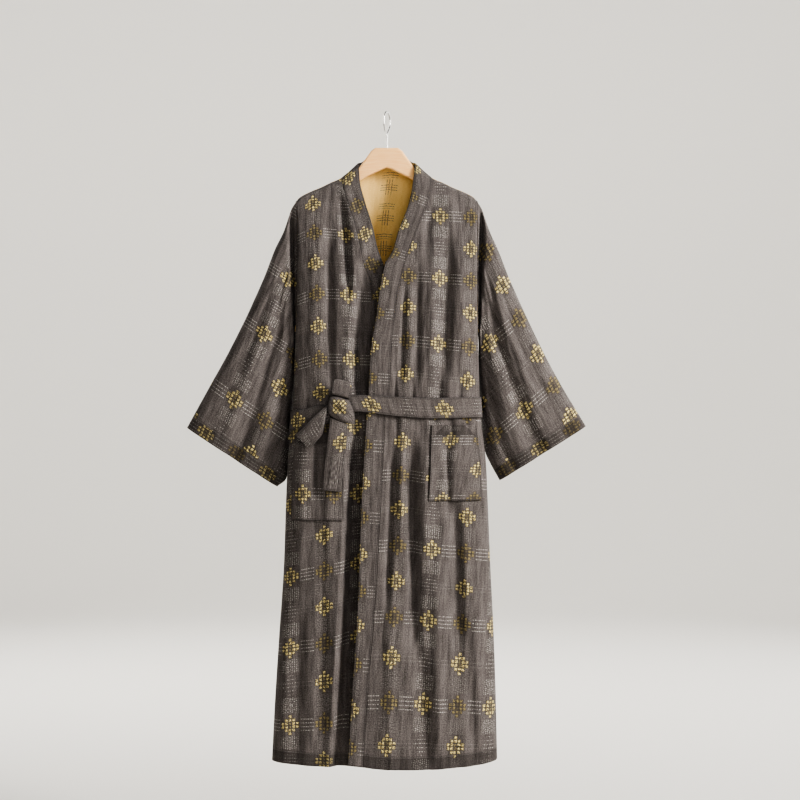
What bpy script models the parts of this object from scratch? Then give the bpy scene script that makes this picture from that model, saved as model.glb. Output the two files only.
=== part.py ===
"""A cotton wrap robe with a tied belt, hanging on a wooden hanger with a steel hook.

All sizes are millimetres until a mesh is made. X runs to the robe's left hand side, Y runs
from the front to the back and Z runs up. The origin is the inner top of the hook.
"""
import math

import bmesh
import bpy
import numpy as np
from mathutils import Vector

MM = 0.001
SEAM_GAP = 0.3
NEAR_ZERO = 1e-4
CLOTH_WALL = 1.6
BAND_WALL = 3.0
BELT_WALL = 3.0
UNDERARM_Z = -465.0
BELT_Z = -628.0

# The body from its outline: height, left side edge, right side edge
SIDE_EDGE = (
    (-184, -188, 188),
    (-214, -187, 190),
    (-393, -188, 190),
    (-477, -192, 192),
    (-594, -196, 195),
    (-643, -199, 198),
    (-687, -203, 203),
    (-729, -207, 208),
    (-813, -211, 212),
    (-939, -215, 217),
    (-1107, -226, 225),
    (-1233, -234, 229),
    (-1375, -241, 232),
)
# Depth of the garment at its middle: height, front, back
BODY_DEPTH = (
    (-107, 15, 22),
    (-190, 19, 26),
    (-250, 29, 32),
    (-321, 41, 36),
    (-465, 50, 40),
    (-560, 52, 41),
    (-600, 52, 41),
    (-660, 53, 41),
    (-740, 58, 44),
    (-900, 64, 50),
    (-1130, 71, 58),
    (-1375, 80, 66),
)
# How the under front sinks behind the over front: height, depth, how far before the over front's
# free edge the step starts
UNDER_SINK = (
    (-190, 0, 70),
    (-250, 6, 66),
    (-321, 15, 62),
    (-400, 23, 57),
    (-465, 24, 52),
    (-560, 21, 45),
    (-600, 13, 43),
    (-650, 12, 41),
    (-740, 28, 40),
    (-900, 34, 40),
    (-1130, 34, 42),
    (-1375, 24, 42),
)
SINK_STEP = 24.0
# Shoulder line, the same on both sides: distance from the middle, height
SHOULDER = (
    (59, -107),
    (90, -132),
    (98, -138),
    (119, -147),
    (135, -155),
    (161, -166),
    (182, -177),
    (190, -186),
)
# Neckline of the back: distance from the middle, height, depth
NECKLINE = (
    (0, -112, 25),
    (40, -119, 23),
    (70, -128, 17),
    (87, -131.8, 9),
    (94.5, -135.2, 0.25),
)
# Band of the over front: height, seam, free edge
OVER_BAND = (
    (-107, 91, 59),
    (-141, 93, 56),
    (-193, 84, 46),
    (-246, 64, 26),
    (-290, 47, 13),
    (-321, 37, -4),
    (-435, 15, -23),
    (-498, 9, -33),
    (-584, 5, -38),
    (-640, -3, -42),
    (-813, -12, -52),
    (-1033, -25, -60),
    (-1190, -38, -70),
    (-1375, -50, -81),
)
# Band of the under front: height, seam, free edge
UNDER_BAND = (
    (-107, -91, -59),
    (-145, -93, -56),
    (-189, -81, -45),
    (-233, -67, -31),
    (-288, -54, -18),
    (-321, -47, -6),
    (-355, -35, 4),
    (-435, -21, 18),
    (-640, -9, 30),
    (-813, -4, 36),
    (-1033, 0, 40),
    (-1375, 3, 43),
)
# How much higher the free edge of a band lies than its seam: seam height, rise
BAND_RISE = (
    (-133, 26),
    (-160, 20),
    (-200, 14),
    (-290, 11),
    (-340, 7),
    (-450, 3),
    (-1300, 2),
    (-1375, 4),
)
BAND_SHARES = (0.0, 0.5, 1.0)
BAND_GAP = 0.5
# Band behind the neck, from its middle to the shoulder: share, rise, width share, lean, start
NECK_BAND = (
    (0, 36, 0.94, 1.0, 0.5),
    (0.45, 30, 0.87, 0.92, 1.15),
    (0.75, 26, 0.76, 0.76, 1.7),
    (1, 28, 0.66, 0.62, 1.9),
)
NECK_LEAN = 0.82
# Share of the half neckline where the band's shoulder row takes over
NECK_END = 0.994
# Hems: distance from the middle, height
OVER_HEM = ((-80, -1353), (-24, -1363), (40, -1366), (91, -1366), (133, -1363), (186, -1359), (232, -1352))
UNDER_HEM = ((-241, -1354), (-182, -1358), (-87, -1362), (0, -1371), (43, -1374))
BACK_HEM = ((-241, -1354), (-120, -1365), (0, -1369), (130, -1369), (190, -1363), (232, -1352))

# Rows of every body panel: shares from the shoulder to the underarm, then levels below it
UPPER_SHARES = (0, 0.0004, 0.006, 0.02, 0.045, 0.1, 0.2, 0.33, 0.47, 0.61, 0.74, 0.86, 0.94, 1.0)
LOWER_LEVELS = (-510, -555, -592, -628, -664, -705, -760, -830, -910, -1000, -1090, -1180, -1270, -1355)
# Columns near a side, as shares of the half width
SIDE_SHARES = (0.965, 0.988, 0.9986, 1.0)
FLAT_SHARE = 0.93
# Columns between the band seam and those near the side, and columns of half the back
OVER_COLUMNS = 17
UNDER_COLUMNS = 13
NECK_COLUMNS = 5
OUTER_COLUMNS = 6
HEM_Z = -1360.0
# A column's top is found by following its line this many times from this height
TOP_SEARCH_Z = -150.0
TOP_SEARCH_TURNS = 12

SHOULDER_RADIUS = 12.0
SHOULDER_FALL = 0.22
SECTION_POWER = 0.45
SIDE_SEAM_Y = 3.0
ARMHOLE_FRONT = 15.0
ARMHOLE_BACK = 14.0
ARMHOLE_ROUND = 40.0

# Folds: top x, top height, bottom x, bottom height, push towards the viewer, half width
OVER_FOLDS = (
    (90, -160, 80, -330, -3, 9),
    (134, -205, 119, -600, -11, 15),
    (100, -240, 92, -600, 4, 13),
    (66, -290, 64, -600, -6, 9),
    (38, -325, 29, -610, -6, 8),
    (160, -250, 158, -600, 3, 14),
    (15, -640, -2, -1080, -7, 9),
    (52, -640, 58, -1180, -15, 14),
    (34, -650, 30, -960, 4, 10),
    (80, -650, 84, -960, 5, 15),
    (122, -640, 130, -860, -7, 11),
    (138, -760, 152, -1180, -11, 16),
    (70, -1080, 84, -1400, -8, 16),
    (104, -900, 112, -1400, 6, 18),
    (10, -960, 4, -1400, 5, 16),
    (186, -960, 192, -1400, 5, 14),
    (176, -1150, 186, -1400, -6, 14),
)
UNDER_FOLDS = (
    (-95, -150, -75, -420, -11, 9),
    (-122, -190, -116, -600, -8, 12),
    (-150, -220, -152, -600, 4, 15),
    (-140, -640, -146, -830, -5, 16),
    (-118, -650, -120, -960, 4, 13),
    (-170, -660, -182, -1000, 4, 14),
    (-130, -900, -136, -1400, -5, 16),
    (-176, -1000, -190, -1400, -6, 17),
    (-100, -1000, -104, -1400, 5, 14),
    (-212, -1050, -216, -1400, 4, 12),
)
BACK_FOLDS = (
    (-98, -170, -60, -600, -6, 18),
    (96, -180, 70, -600, -7, 17),
    (10, -260, 4, -600, 5, 24),
    (-140, -250, -132, -600, 4, 18),
    (140, -250, 136, -600, 4, 18),
    (-120, -640, -142, -1400, -8, 20),
    (-40, -640, -48, -1400, -9, 22),
    (46, -640, 58, -1400, -10, 20),
    (128, -640, 150, -1400, -7, 20),
    (-84, -660, -96, -1400, 6, 18),
    (2, -660, 4, -1400, 7, 20),
    (90, -660, 104, -1400, 6, 18),
)
FOLD_AT_BELT = 0.1
FOLD_FADE = 0.3
BELT_REACH = 62.0
SEAM_CALM = 20.0
SHOULDER_CALM = 60.0
BELT_CALM_POWER = 4
SIDE_CALM_POWER = 8

# Sleeves: outer edge and inner edge from the armhole to the cuff, distance from the middle, height
SLEEVE_OUTER = {
    "left": ((190, -186), (200, -202), (207, -222), (218, -252), (234, -284), (257, -343), (279, -393),
             (297, -432), (337, -511), (371, -572), (420, -661)),
    "right": ((190, -186), (200, -202), (207, -222), (218, -252), (233, -284), (256, -343), (278, -393),
              (296, -432), (334, -511), (366, -570), (419, -658)),
}
SLEEVE_INNER = {
    "left": ((190.7, -465), (195.5, -492), (197.5, -530), (199, -570), (202, -605), (205, -665), (209, -710),
             (214, -750), (231, -785)),
    "right": ((192.2, -465), (196, -492), (197.5, -530), (198.5, -570), (201, -605), (204, -655), (210, -700),
              (218, -735), (238, -772)),
}
SLEEVE_RINGS = (0, 0.035, 0.08, 0.14, 0.22, 0.32, 0.43, 0.55, 0.67, 0.79, 0.9, 1.0)
SLEEVE_SHARES = (0, 0.0004, 0.006, 0.02, 0.045, 0.1, 0.2, 0.32, 0.45, 0.58, 0.7, 0.81, 0.9, 0.96, 0.992, 1.0)
SLEEVE_LIP = 3.5
ARMHOLE_GAP = 0.6
SLEEVE_SEAM_LIP = 2.4
# Near the shoulder, down to a share across, the sleeve leaves the armhole this way
LIP_WAY = (0.8, 0.0, -0.6)
LIP_TOP = 0.1
# Share along the sleeve, middle of its depth, half depth
SLEEVE_DEPTH = (
    (0, 0, 14),
    (0.1, 3, 24),
    (0.3, 5, 28),
    (0.6, 6, 27),
    (1.0, 6, 20),
)
SLEEVE_EDGE_ROUND = 34.0
# How far the sleeve's inner edge hangs behind the side of the body: share along the sleeve, distance
SLEEVE_BEHIND = ((0, 0), (0.06, 4), (0.2, 24), (0.4, 32), (0.7, 26), (1.0, 8))
BEHIND_POWER = 4
# Valley beside the armhole seam: share along the sleeve, its reach, depth in front and behind
VALLEY_PLACE = 0.04
VALLEY_REACH = 0.026
VALLEY_START = 0.025
VALLEY_TOP = 0.1
VALLEY_BOTTOM = 0.15
VALLEY_DEPTH = {-1.0: 15.0, 1.0: 6.0}
SLEEVE_LEAVE = 0.12
# Sleeve folds: share across at the armhole end, share across at the cuff, from, to, push, half width
SLEEVE_FOLDS = (
    (0.30, 0.34, 0.10, 1.2, 5, 0.08),
    (0.46, 0.50, 0.12, 1.2, -7, 0.07),
    (0.64, 0.68, 0.18, 1.2, 5, 0.08),
    (0.80, 0.82, 0.30, 1.2, -5, 0.07),
)

# Pockets: top, bottom, inner edge at the top and at the bottom, outer edge as a share of the half width
POCKET_RISE = 3.6
POCKET_ROWS = 8
POCKET_COLUMNS = 9
SLOPE_STEP = 0.5
OVER_POCKET = (-655, -812, 93, 86, 0.93)
UNDER_POCKET = (-672, -853, -88, -91, 0.93)

# Belt in front and behind: x, height of its middle, width
BELT_FRONT = (
    (-205, -646, 42),
    (-182, -645, 42),
    (-147, -637, 42),
    (-120, -632, 40),
    (-78, -610, 34),
    (-56, -610, 35),
    (13, -616, 40),
    (94, -620, 43),
    (203, -618, 43),
)
BELT_BACK = ((-205, -646, 42), (-100, -642, 42), (0, -634, 42), (100, -624, 42), (203, -618, 43))
BELT_STAND = 7.0
BELT_SIDE_STAND = 3.75
BELT_SIDE_POWER = 6
BELT_ENDS = (-116, -84)
BELT_STEPS = 46
BELT_SHARES = (0.0, 0.33, 0.67, 1.0)
BELT_ANGLE_POWER = 0.8

# Knot: corners of the crossing cloth in x and z, how round they are, how far it bulges
KNOT_CORNERS = ((-119, -590), (-74, -601), (-60, -660), (-124, -636))
KNOT_ROUND = 0.16
KNOT_BACK_Y = -60.0
KNOT_BULGE = 14.0
# Crease over the knot: share down at its left edge, fall to the right, width, depth
KNOT_CREASE = (0.45, 0.35, 0.14, 4.0)
KNOT_STEPS = 9
# Small loop above the knot: ends of its foot and of its top in x and z, how round its top is
LOOP_FOOT = ((-113, -591), (-76, -600))
LOOP_TOP = ((-112, -556), (-70, -568))
LOOP_ROUND = 0.3
LOOP_ROUND_POWER = 4
LOOP_RISE_POWER = 0.6
LOOP_WALL = 2.4
LOOP_TURNS = 13
LOOP_COLUMNS = 6
LOOP_MIDDLE_Y = -62.4
LOOP_HALF_DEPTH = 5.0
TAIL_ROWS = 10
TAIL_COLUMNS = 5
TAIL_CURL = 3.0
# Share of the curl that is gone at a tail's end
TAIL_FLATTEN = 0.6
LONG_TAIL_LEFT = ((-117, -59.9, -639.2), (-123, -63, -690), (-129, -64, -741), (-132, -65, -790))
LONG_TAIL_RIGHT = ((-80, -59.9, -653.1), (-84, -64, -700), (-90, -66, -750), (-94, -66, -794))
SHORT_TAIL_UPPER = ((-122.3, -59.9, -613), (-150, -61, -637), (-174, -58, -661), (-190, -54, -675))
SHORT_TAIL_LOWER = ((-124.9, -59.9, -637), (-132, -64, -672), (-146, -64, -690), (-160, -61, -705))

# Hanger board: half of its outline, from the middle of its top to its tip and back: x, height.
# Between the neck and the tip its top follows the shoulder line, just under the cloth.
HANGER_OUTLINE = (
    (0, -73.5),
    (24, -73.5),
    (33, -80),
    (45, -97),
    (58, -115),
    (66, -122),
    (76, -131),
    (90, -142),
    "shoulder",
    (183, -185),
    (187, -191),
    (188, -198),
    (184, -205),
    (172, -204),
    (140, -190),
    (100, -170),
    (72, -151),
    (54, -140.5),
    (38, -132),
    (21, -124),
    (8, -117.5),
    (0, -115.5),
)
HANGER_UNDER_CLOTH = (108, 120, 135, 150, 163, 174)
HANGER_BELOW = 3.0
HANGER_THICK = 14.0
HANGER_ROUND = 3.5
HANGER_EDGE_STEPS = 2
HANGER_EDGE_ANGLE = math.radians(50)
WIRE_RADIUS = 1.8
STEM_X = 1.0
BORE_RADIUS = 2.1
BORE_DEPTH = 20.0
BORE_ABOVE = 5.0
BORE_SIDES = 16
HOOK_STEPS = 34
HOOK_TURN = math.radians(22)
# Hook wire from the seat in the board to the tip: distance towards the viewer, height
HOOK_ROUTE = (
    (0, -93),
    (0, -73),
    (0, -46),
    (-4, -40),
    (-11, -32),
    (-16.5, -22),
    (-17, -12),
    (-12, -2.5),
    (-4, 1.5),
    (4, 1.5),
    (12, -2.5),
    (17, -12),
    (17, -23),
    (14, -33),
    (10, -40),
)
CLOTH_COLOUR = (0.15, 0.13, 0.115)
CLOTH_ROUGHNESS = 0.9
WOOD_COLOUR = (0.78, 0.58, 0.38)
WOOD_ROUGHNESS = 0.5
STEEL_COLOUR = (0.55, 0.55, 0.56)
STEEL_ROUGHNESS = 0.3


def smooth(share):
    """Ease from 0 to 1."""
    share = np.clip(share, 0.0, 1.0)
    return share * share * (3.0 - 2.0 * share)


def follow(table, column, at):
    """One column of a table at a place in its first column, on a curve without overshoot."""
    rows = np.array(sorted(table), dtype=float)
    places = rows[:, 0]
    values = rows[:, column]
    at = np.clip(np.asarray(at, dtype=float), places[0], places[-1])
    steps = np.diff(places)
    slopes = np.diff(values) / steps
    tangents = np.zeros_like(values)
    tangents[0] = slopes[0]
    tangents[-1] = slopes[-1]
    same_way = slopes[:-1] * slopes[1:] > 0
    total = np.where(same_way, slopes[:-1] + slopes[1:], 1.0)
    tangents[1:-1] = np.where(same_way, 2.0 * slopes[:-1] * slopes[1:] / total, 0.0)
    row = np.clip(np.searchsorted(places, at, side="right") - 1, 0, len(steps) - 1)
    step = steps[row]
    t = (at - places[row]) / step
    return (
        values[row] * (1 + 2 * t) * (1 - t) ** 2
        + values[row + 1] * t * t * (3 - 2 * t)
        + step * t * (1 - t) * ((1 - t) * tangents[row] - t * tangents[row + 1])
    )


def soft_min(a, b, softness=1.2):
    """The smaller of two lengths, rounded where they meet."""
    low = np.minimum(a, b)
    return low - softness * np.log1p(np.exp(-np.abs(a - b) / softness))


def half_width(x, z):
    """Distance from the middle to the side edge on the side where x lies."""
    return np.where(x < 0, -follow(SIDE_EDGE, 1, z), follow(SIDE_EDGE, 2, z))


def armhole_half(z, depth):
    """Half the depth of the armhole's loop at a height, round at the underarm."""
    share = np.clip((z - UNDERARM_Z) / ARMHOLE_ROUND, 0.0, 1.0)
    return depth * np.sqrt(share * (2.0 - share))


def over_shoulder(drop):
    """How far cloth stands out at a distance below the shoulder line."""
    drop = np.maximum(drop, 0.0)
    bend = np.minimum(drop, SHOULDER_RADIUS)
    return np.sqrt(bend * (2 * SHOULDER_RADIUS - bend)) + SHOULDER_FALL * (drop - bend)


def folds(table, x, z):
    """Push of all folds of one panel at x and z, calm at the belt, the sides and the shoulder."""
    push = np.zeros_like(x * z)
    for top_x, top_z, bottom_x, bottom_z, depth, width in table:
        along = (top_z - z) / (top_z - bottom_z)
        centre = top_x + (bottom_x - top_x) * along
        fade = smooth(along / FOLD_FADE) * smooth((1.0 - along) / FOLD_FADE)
        push = push + depth * fade * np.exp(-(((x - centre) / width) ** 2))
    belt = 1.0 - (1.0 - FOLD_AT_BELT) * np.exp(-(((z - BELT_Z) / BELT_REACH) ** BELT_CALM_POWER))
    side = 1.0 - np.clip(np.abs(x) / half_width(x, z), 0.0, 1.0) ** SIDE_CALM_POWER
    return push * belt * side * smooth((follow(SHOULDER, 1, np.abs(x)) - z) / SHOULDER_CALM)


def section(x, z, middle, edge):
    """Depth of a body section at x, flat over the middle and steep at the side."""
    share = np.clip(np.abs(x) / half_width(x, z), 0.0, 1.0)
    return edge + (middle - edge) * (1.0 - share ** 2) ** (SECTION_POWER / 2)


def front_y(x, z):
    """Smooth front of the garment without its folds."""
    edge = armhole_half(z, ARMHOLE_FRONT) - SIDE_SEAM_Y
    hanging = section(x, z, follow(BODY_DEPTH, 1, z), edge)
    return -soft_min(hanging, over_shoulder(follow(SHOULDER, 1, np.abs(x)) - z))


def seam_calm(x, z, band):
    """Folds fade to nothing at the band's seam, so both sides of it lie alike."""
    return smooth(np.abs(x - follow(band, 1, z)) / SEAM_CALM)


def over_front_y(x, z):
    """Outer face of the over front and of its band."""
    return front_y(x, z) - folds(OVER_FOLDS, x, z) * seam_calm(x, z, OVER_BAND)


def under_front_y(x, z):
    """The under front sinks back as it goes below the over front."""
    start = follow(OVER_BAND, 2, z) - follow(UNDER_SINK, 2, z)
    sink = follow(UNDER_SINK, 1, z) * smooth((x - start) / SINK_STEP)
    return front_y(x, z) + sink - folds(UNDER_FOLDS, x, z) * seam_calm(x, z, UNDER_BAND)


def back_y(x, z):
    """Back of the garment, starting from the neckline's own depth."""
    edge = armhole_half(z, ARMHOLE_BACK) + SIDE_SEAM_Y
    hanging = section(x, z, follow(BODY_DEPTH, 2, z), edge)
    neck = follow(NECKLINE, 2, np.abs(x))
    falling = np.sqrt(neck ** 2 + over_shoulder(follow(SHOULDER, 1, np.abs(x)) - z) ** 2)
    falling = np.where(np.abs(x) < NECKLINE[-1][0], falling, over_shoulder(follow(SHOULDER, 1, np.abs(x)) - z))
    return soft_min(hanging, falling) + folds(BACK_FOLDS, x, z)


def row_heights(top, hem):
    """Heights of a panel's rows in one column, from its top to its hem."""
    upper = [top + (UNDERARM_Z - top) * share for share in UPPER_SHARES]
    reach = (hem - UNDERARM_Z) / (LOWER_LEVELS[-1] - UNDERARM_Z)
    lower = [UNDERARM_Z + (level - UNDERARM_Z) * reach for level in LOWER_LEVELS]
    return np.array(upper + lower)


def side_columns(count):
    """Shares across a front, from its band seam to its side seam, closer at the side."""
    return [(i / (count - 1), None) for i in range(count)] + [(1.0, share) for share in SIDE_SHARES]


def panel_top(line_at):
    """Height at which a column meets the shoulder line, found by following the line."""
    top = np.array(TOP_SEARCH_Z)
    for _ in range(TOP_SEARCH_TURNS):
        top = line_at(top)
    return float(top)


def front_panel(band, hem, side, surface, flat_columns):
    """Grid of a front: columns run from the band seam to the side seam."""
    columns = []
    for across, share in side_columns(flat_columns):
        def place(z):
            """x of this column at a height."""
            seam = follow(band, 1, z) + side * SEAM_GAP / 2
            edge = half_width(np.full_like(seam, float(side)), z)
            first = side * seam / edge
            ratio = share if share is not None else first + (FLAT_SHARE - first) * across
            return side * edge * ratio

        top = panel_top(lambda z: follow(SHOULDER, 1, np.abs(place(z))))
        z = row_heights(top, float(follow(hem, 1, place(np.array(HEM_Z)))))
        x = place(z)
        y = surface(x, z)
        y[0] = -SEAM_GAP / 2
        columns.append(np.stack([x, y, z], axis=-1))
    grid = np.stack(columns, axis=1)
    below = grid[:, -1, 2] <= UNDERARM_Z
    grid[below, -1, 1] = SIDE_SEAM_Y - SEAM_GAP / 2
    return grid


def back_ratios():
    """Columns of the back as shares of the half width, with a column at each end of the neckline."""
    neck = float(NECKLINE[-1][0] / follow(SIDE_EDGE, 2, NECKLINE[-1][1]))
    middle = list(np.linspace(0.0, neck, NECK_COLUMNS))
    outer = list(np.linspace(neck, FLAT_SHARE, OUTER_COLUMNS))[1:] + list(SIDE_SHARES)
    right = middle + outer
    return [-ratio for ratio in reversed(right[1:])] + right


def back_panel():
    """Grid of the back, from the left side seam to the right side seam."""
    columns = []
    neck_end = NECKLINE[-1][0] / follow(SIDE_EDGE, 2, NECKLINE[-1][1])
    for ratio in back_ratios():
        side = 1.0 if ratio >= 0 else -1.0
        at_neck = abs(ratio) < neck_end - NEAR_ZERO
        line = NECKLINE if at_neck else SHOULDER
        top = panel_top(lambda z: follow(line, 1, np.abs(ratio * half_width(np.array(side), z))))
        x_hem = ratio * half_width(np.array(side), np.array(HEM_Z))
        z = row_heights(top, float(follow(BACK_HEM, 1, x_hem)))
        x = ratio * half_width(np.full_like(z, side), z)
        y = back_y(x, z)
        if not at_neck:
            y[0] = SEAM_GAP / 2
        columns.append(np.stack([x, y, z], axis=-1))
    grid = np.stack(columns, axis=1)
    for edge in (0, -1):
        below = grid[:, edge, 2] <= UNDERARM_Z
        grid[below, edge, 1] = SIDE_SEAM_Y + SEAM_GAP / 2
    return grid


def band_rows(panel, band, side, surface):
    """Rows of the collar band along one front, from its hem up to the shoulder."""
    rows = []
    for x_seam, _, z_seam in panel[::-1, 0]:
        rise = follow(BAND_RISE, 1, z_seam)
        z_free = float(z_seam + rise)
        x_free = float(follow(band, 2, z_free))
        x_start = x_seam - side * BAND_GAP
        row = []
        for across in BAND_SHARES:
            x = np.array(x_start + (x_free - x_start) * across)
            z = np.array(z_seam + (z_free - z_seam) * across)
            row.append((float(x), float(surface(x, z)), float(z)))
        rows.append(row)
    rows[-1] = [(x, 0.0, z) for x, _, z in rows[-1]]
    return rows


def neck_rows(back):
    """Rows of the collar band behind the neck, from the right shoulder to the left one."""
    rows = []
    for x, y, z in back[0, ::-1]:
        share = abs(x) / NECKLINE[-1][0]
        if share > NECK_END:
            continue
        rise, narrow, lean, gap = [float(follow(NECK_BAND, column, share)) for column in (1, 2, 3, 4)]
        free = np.array([x * narrow, y * NECK_LEAN * lean, z + rise])
        seam = np.array([x, y, z])
        start = seam + (free - seam) * gap / np.linalg.norm(free - seam)
        rows.append([start + (free - start) * across for across in BAND_SHARES])
    return rows


def collar_band(over, under, back):
    """Grid of the whole collar band, hem to hem round the back neck."""
    right = band_rows(over, OVER_BAND, 1.0, over_front_y)
    left = band_rows(under, UNDER_BAND, -1.0, under_front_y)
    return np.array(right + neck_rows(back) + left[::-1])


def arc_points(points, shares):
    """Places along a broken line at shares of its length."""
    points = np.array(points, dtype=float)
    lengths = np.concatenate([[0.0], np.cumsum(np.linalg.norm(np.diff(points, axis=0), axis=1))])
    table_x = list(zip(lengths / lengths[-1], points[:, 0]))
    table_z = list(zip(lengths / lengths[-1], points[:, 1]))
    return np.stack([follow(table_x, 1, shares), follow(table_z, 1, shares)], axis=-1)


def sleeve_middle(t, share):
    """y of a sleeve's middle at a share across it. Its inner part hangs behind the body's side."""
    return follow(SLEEVE_DEPTH, 1, t) + follow(SLEEVE_BEHIND, 1, t) * share ** BEHIND_POWER


def sleeve_depth(t, share, length, face):
    """y of a sleeve's front or back face at a share across it."""
    middle = sleeve_middle(t, share)
    half = follow(SLEEVE_DEPTH, 2, t)
    near_edge = np.minimum(share, 1.0 - share) * length
    bend = np.minimum(near_edge, SLEEVE_EDGE_ROUND)
    swell = np.sqrt(bend * (2 * SLEEVE_EDGE_ROUND - bend)) / SLEEVE_EDGE_ROUND
    push = 0.0
    for start, end, first, last, depth, width in SLEEVE_FOLDS:
        centre = start + (end - start) * t
        along = (t - first) / (last - first)
        fade = smooth(along / FOLD_FADE) * smooth((1.0 - along) / FOLD_FADE)
        push = push + depth * fade * np.exp(-(((share - centre) / width) ** 2))
    return middle + face * (half * swell + push * swell)


def sleeve(side_name, front, back):
    """Grid of a sleeve: rings from the armhole to the cuff, each from underarm to underarm."""
    side = 1.0 if side_name == "right" else -1.0
    shares = np.array(SLEEVE_SHARES)
    outer = arc_points(SLEEVE_OUTER[side_name], SLEEVE_RINGS)
    inner = arc_points(SLEEVE_INNER[side_name], SLEEVE_RINGS)
    top_z = front[0, -1, 2]
    column = back[:, -1] if side > 0 else back[:, 0]
    arm_z = top_z + (UNDERARM_Z - top_z) * shares
    arm_x = np.abs(half_width(np.full_like(arm_z, side), arm_z)) + ARMHOLE_GAP
    rings = []
    for t, start, end in zip(SLEEVE_RINGS, outer, inner):
        length = float(np.hypot(*(end - start)))
        x = start[0] + (end[0] - start[0]) * shares
        z = start[1] + (end[1] - start[1]) * shares
        leave = smooth(t / SLEEVE_LEAVE)
        halves = []
        for face, panel in ((-1.0, front[:, -1]), (1.0, column)):
            tube = sleeve_depth(t, shares, length, face)
            arm = np.interp(-arm_z, -panel[:, 2], panel[:, 1])
            y = arm + (tube - arm) * leave
            y[-1] = SIDE_SEAM_Y + (sleeve_middle(t, 1.0) - SIDE_SEAM_Y) * leave + face * SEAM_GAP / 2
            half_x = x.copy()
            half_z = z.copy()
            if t == 0:
                half_x = arm_x
                half_z = arm_z.copy()
            half = np.stack([half_x, y, half_z], axis=-1)
            lip = half[-1].copy()
            half[-2] = lip
            half[-2, 1] = lip[1] + face * SLEEVE_SEAM_LIP
            halves.append(half)
        ring = np.concatenate([halves[0][::-1], halves[1][1:]])
        ring[len(shares) - 1, 1] = follow(SLEEVE_DEPTH, 1, t) * leave
        rings.append(ring)
    across = np.concatenate([shares[::-1], shares[1:]])
    towards = rings[1] - rings[0]
    along_shoulder = np.array(LIP_WAY)
    near_top = smooth(across / LIP_TOP)[:, None]
    towards = towards / np.linalg.norm(towards, axis=1)[:, None]
    towards = along_shoulder * (1.0 - near_top) + towards * near_top
    rings.insert(1, rings[0] + towards * SLEEVE_LIP)
    grid = np.array(rings)
    lengthwise = np.array([0.0, 0.0] + list(SLEEVE_RINGS[1:]))[:, None]
    valley = np.exp(-(((lengthwise - VALLEY_PLACE) / VALLEY_REACH) ** 2)) * smooth(lengthwise / VALLEY_START)
    valley = valley * smooth(across / VALLEY_TOP) * smooth((1.0 - across) / VALLEY_BOTTOM)
    depth = np.where(np.arange(len(across)) < len(shares), VALLEY_DEPTH[-1.0], -VALLEY_DEPTH[1.0])
    grid[:, :, 1] += valley * depth
    grid[:, :, 0] *= side
    return grid


def patch_pocket(side, surface, corners, rows, columns):
    """Grid of a patch pocket laid on a front: the front's points, moved out along its normals."""
    top, bottom, inner_top, inner_bottom, outer_share = corners
    z = np.linspace(top, bottom, rows)[:, None] * np.ones((1, columns))
    share = np.linspace(0.0, 1.0, columns)[None, :]
    edge = half_width(np.full_like(z, side), z)
    inner = inner_top + (inner_bottom - inner_top) * (z - top) / (bottom - top)
    outer = side * edge * outer_share
    x = inner + (outer - inner) * share
    slope_x = (surface(x + SLOPE_STEP, z) - surface(x - SLOPE_STEP, z)) / (2 * SLOPE_STEP)
    slope_z = (surface(x, z + SLOPE_STEP) - surface(x, z - SLOPE_STEP)) / (2 * SLOPE_STEP)
    normal = np.stack([slope_x, -np.ones_like(x), slope_z], axis=-1)
    normal = normal / np.linalg.norm(normal, axis=-1)[..., None]
    return np.stack([x, surface(x, z), z], axis=-1) + normal * POCKET_RISE


def belt_point(angle, across):
    """Outer face of the belt at an angle round the body, from its top edge to its bottom one."""
    side = 1.0 if math.sin(angle) >= 0 else -1.0
    ratio = abs(math.sin(angle)) ** BELT_ANGLE_POWER
    front = math.cos(angle) > 0
    line = BELT_FRONT if front else BELT_BACK
    x = side * ratio * float(half_width(np.array(side), np.array(BELT_Z)))
    z = float(follow(line, 1, x) + follow(line, 2, x) * (0.5 - across))
    share = (1.0 - ratio ** 2) ** (SECTION_POWER / 2)
    middle = float(follow(BODY_DEPTH, 1 if front else 2, z))
    face = -1.0 if front else 1.0
    y = SIDE_SEAM_Y * (1 - share) + face * (middle + BELT_STAND) * share
    reach = float(half_width(np.array(side), np.array(z)))
    return side * (reach * ratio + BELT_SIDE_STAND * ratio ** BELT_SIDE_POWER), y, z


def belt_wrap():
    """Grid of the belt round the body, open behind the knot."""
    reach = -float(follow(SIDE_EDGE, 1, BELT_Z))
    start, stop = [math.asin((abs(end) / reach) ** (1 / BELT_ANGLE_POWER)) for end in BELT_ENDS]
    rows = []
    for step in range(BELT_STEPS + 1):
        angle = -start - (2 * math.pi - start + stop) * step / BELT_STEPS
        rows.append([belt_point(angle, across) for across in BELT_SHARES])
    return np.array(rows)


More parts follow.
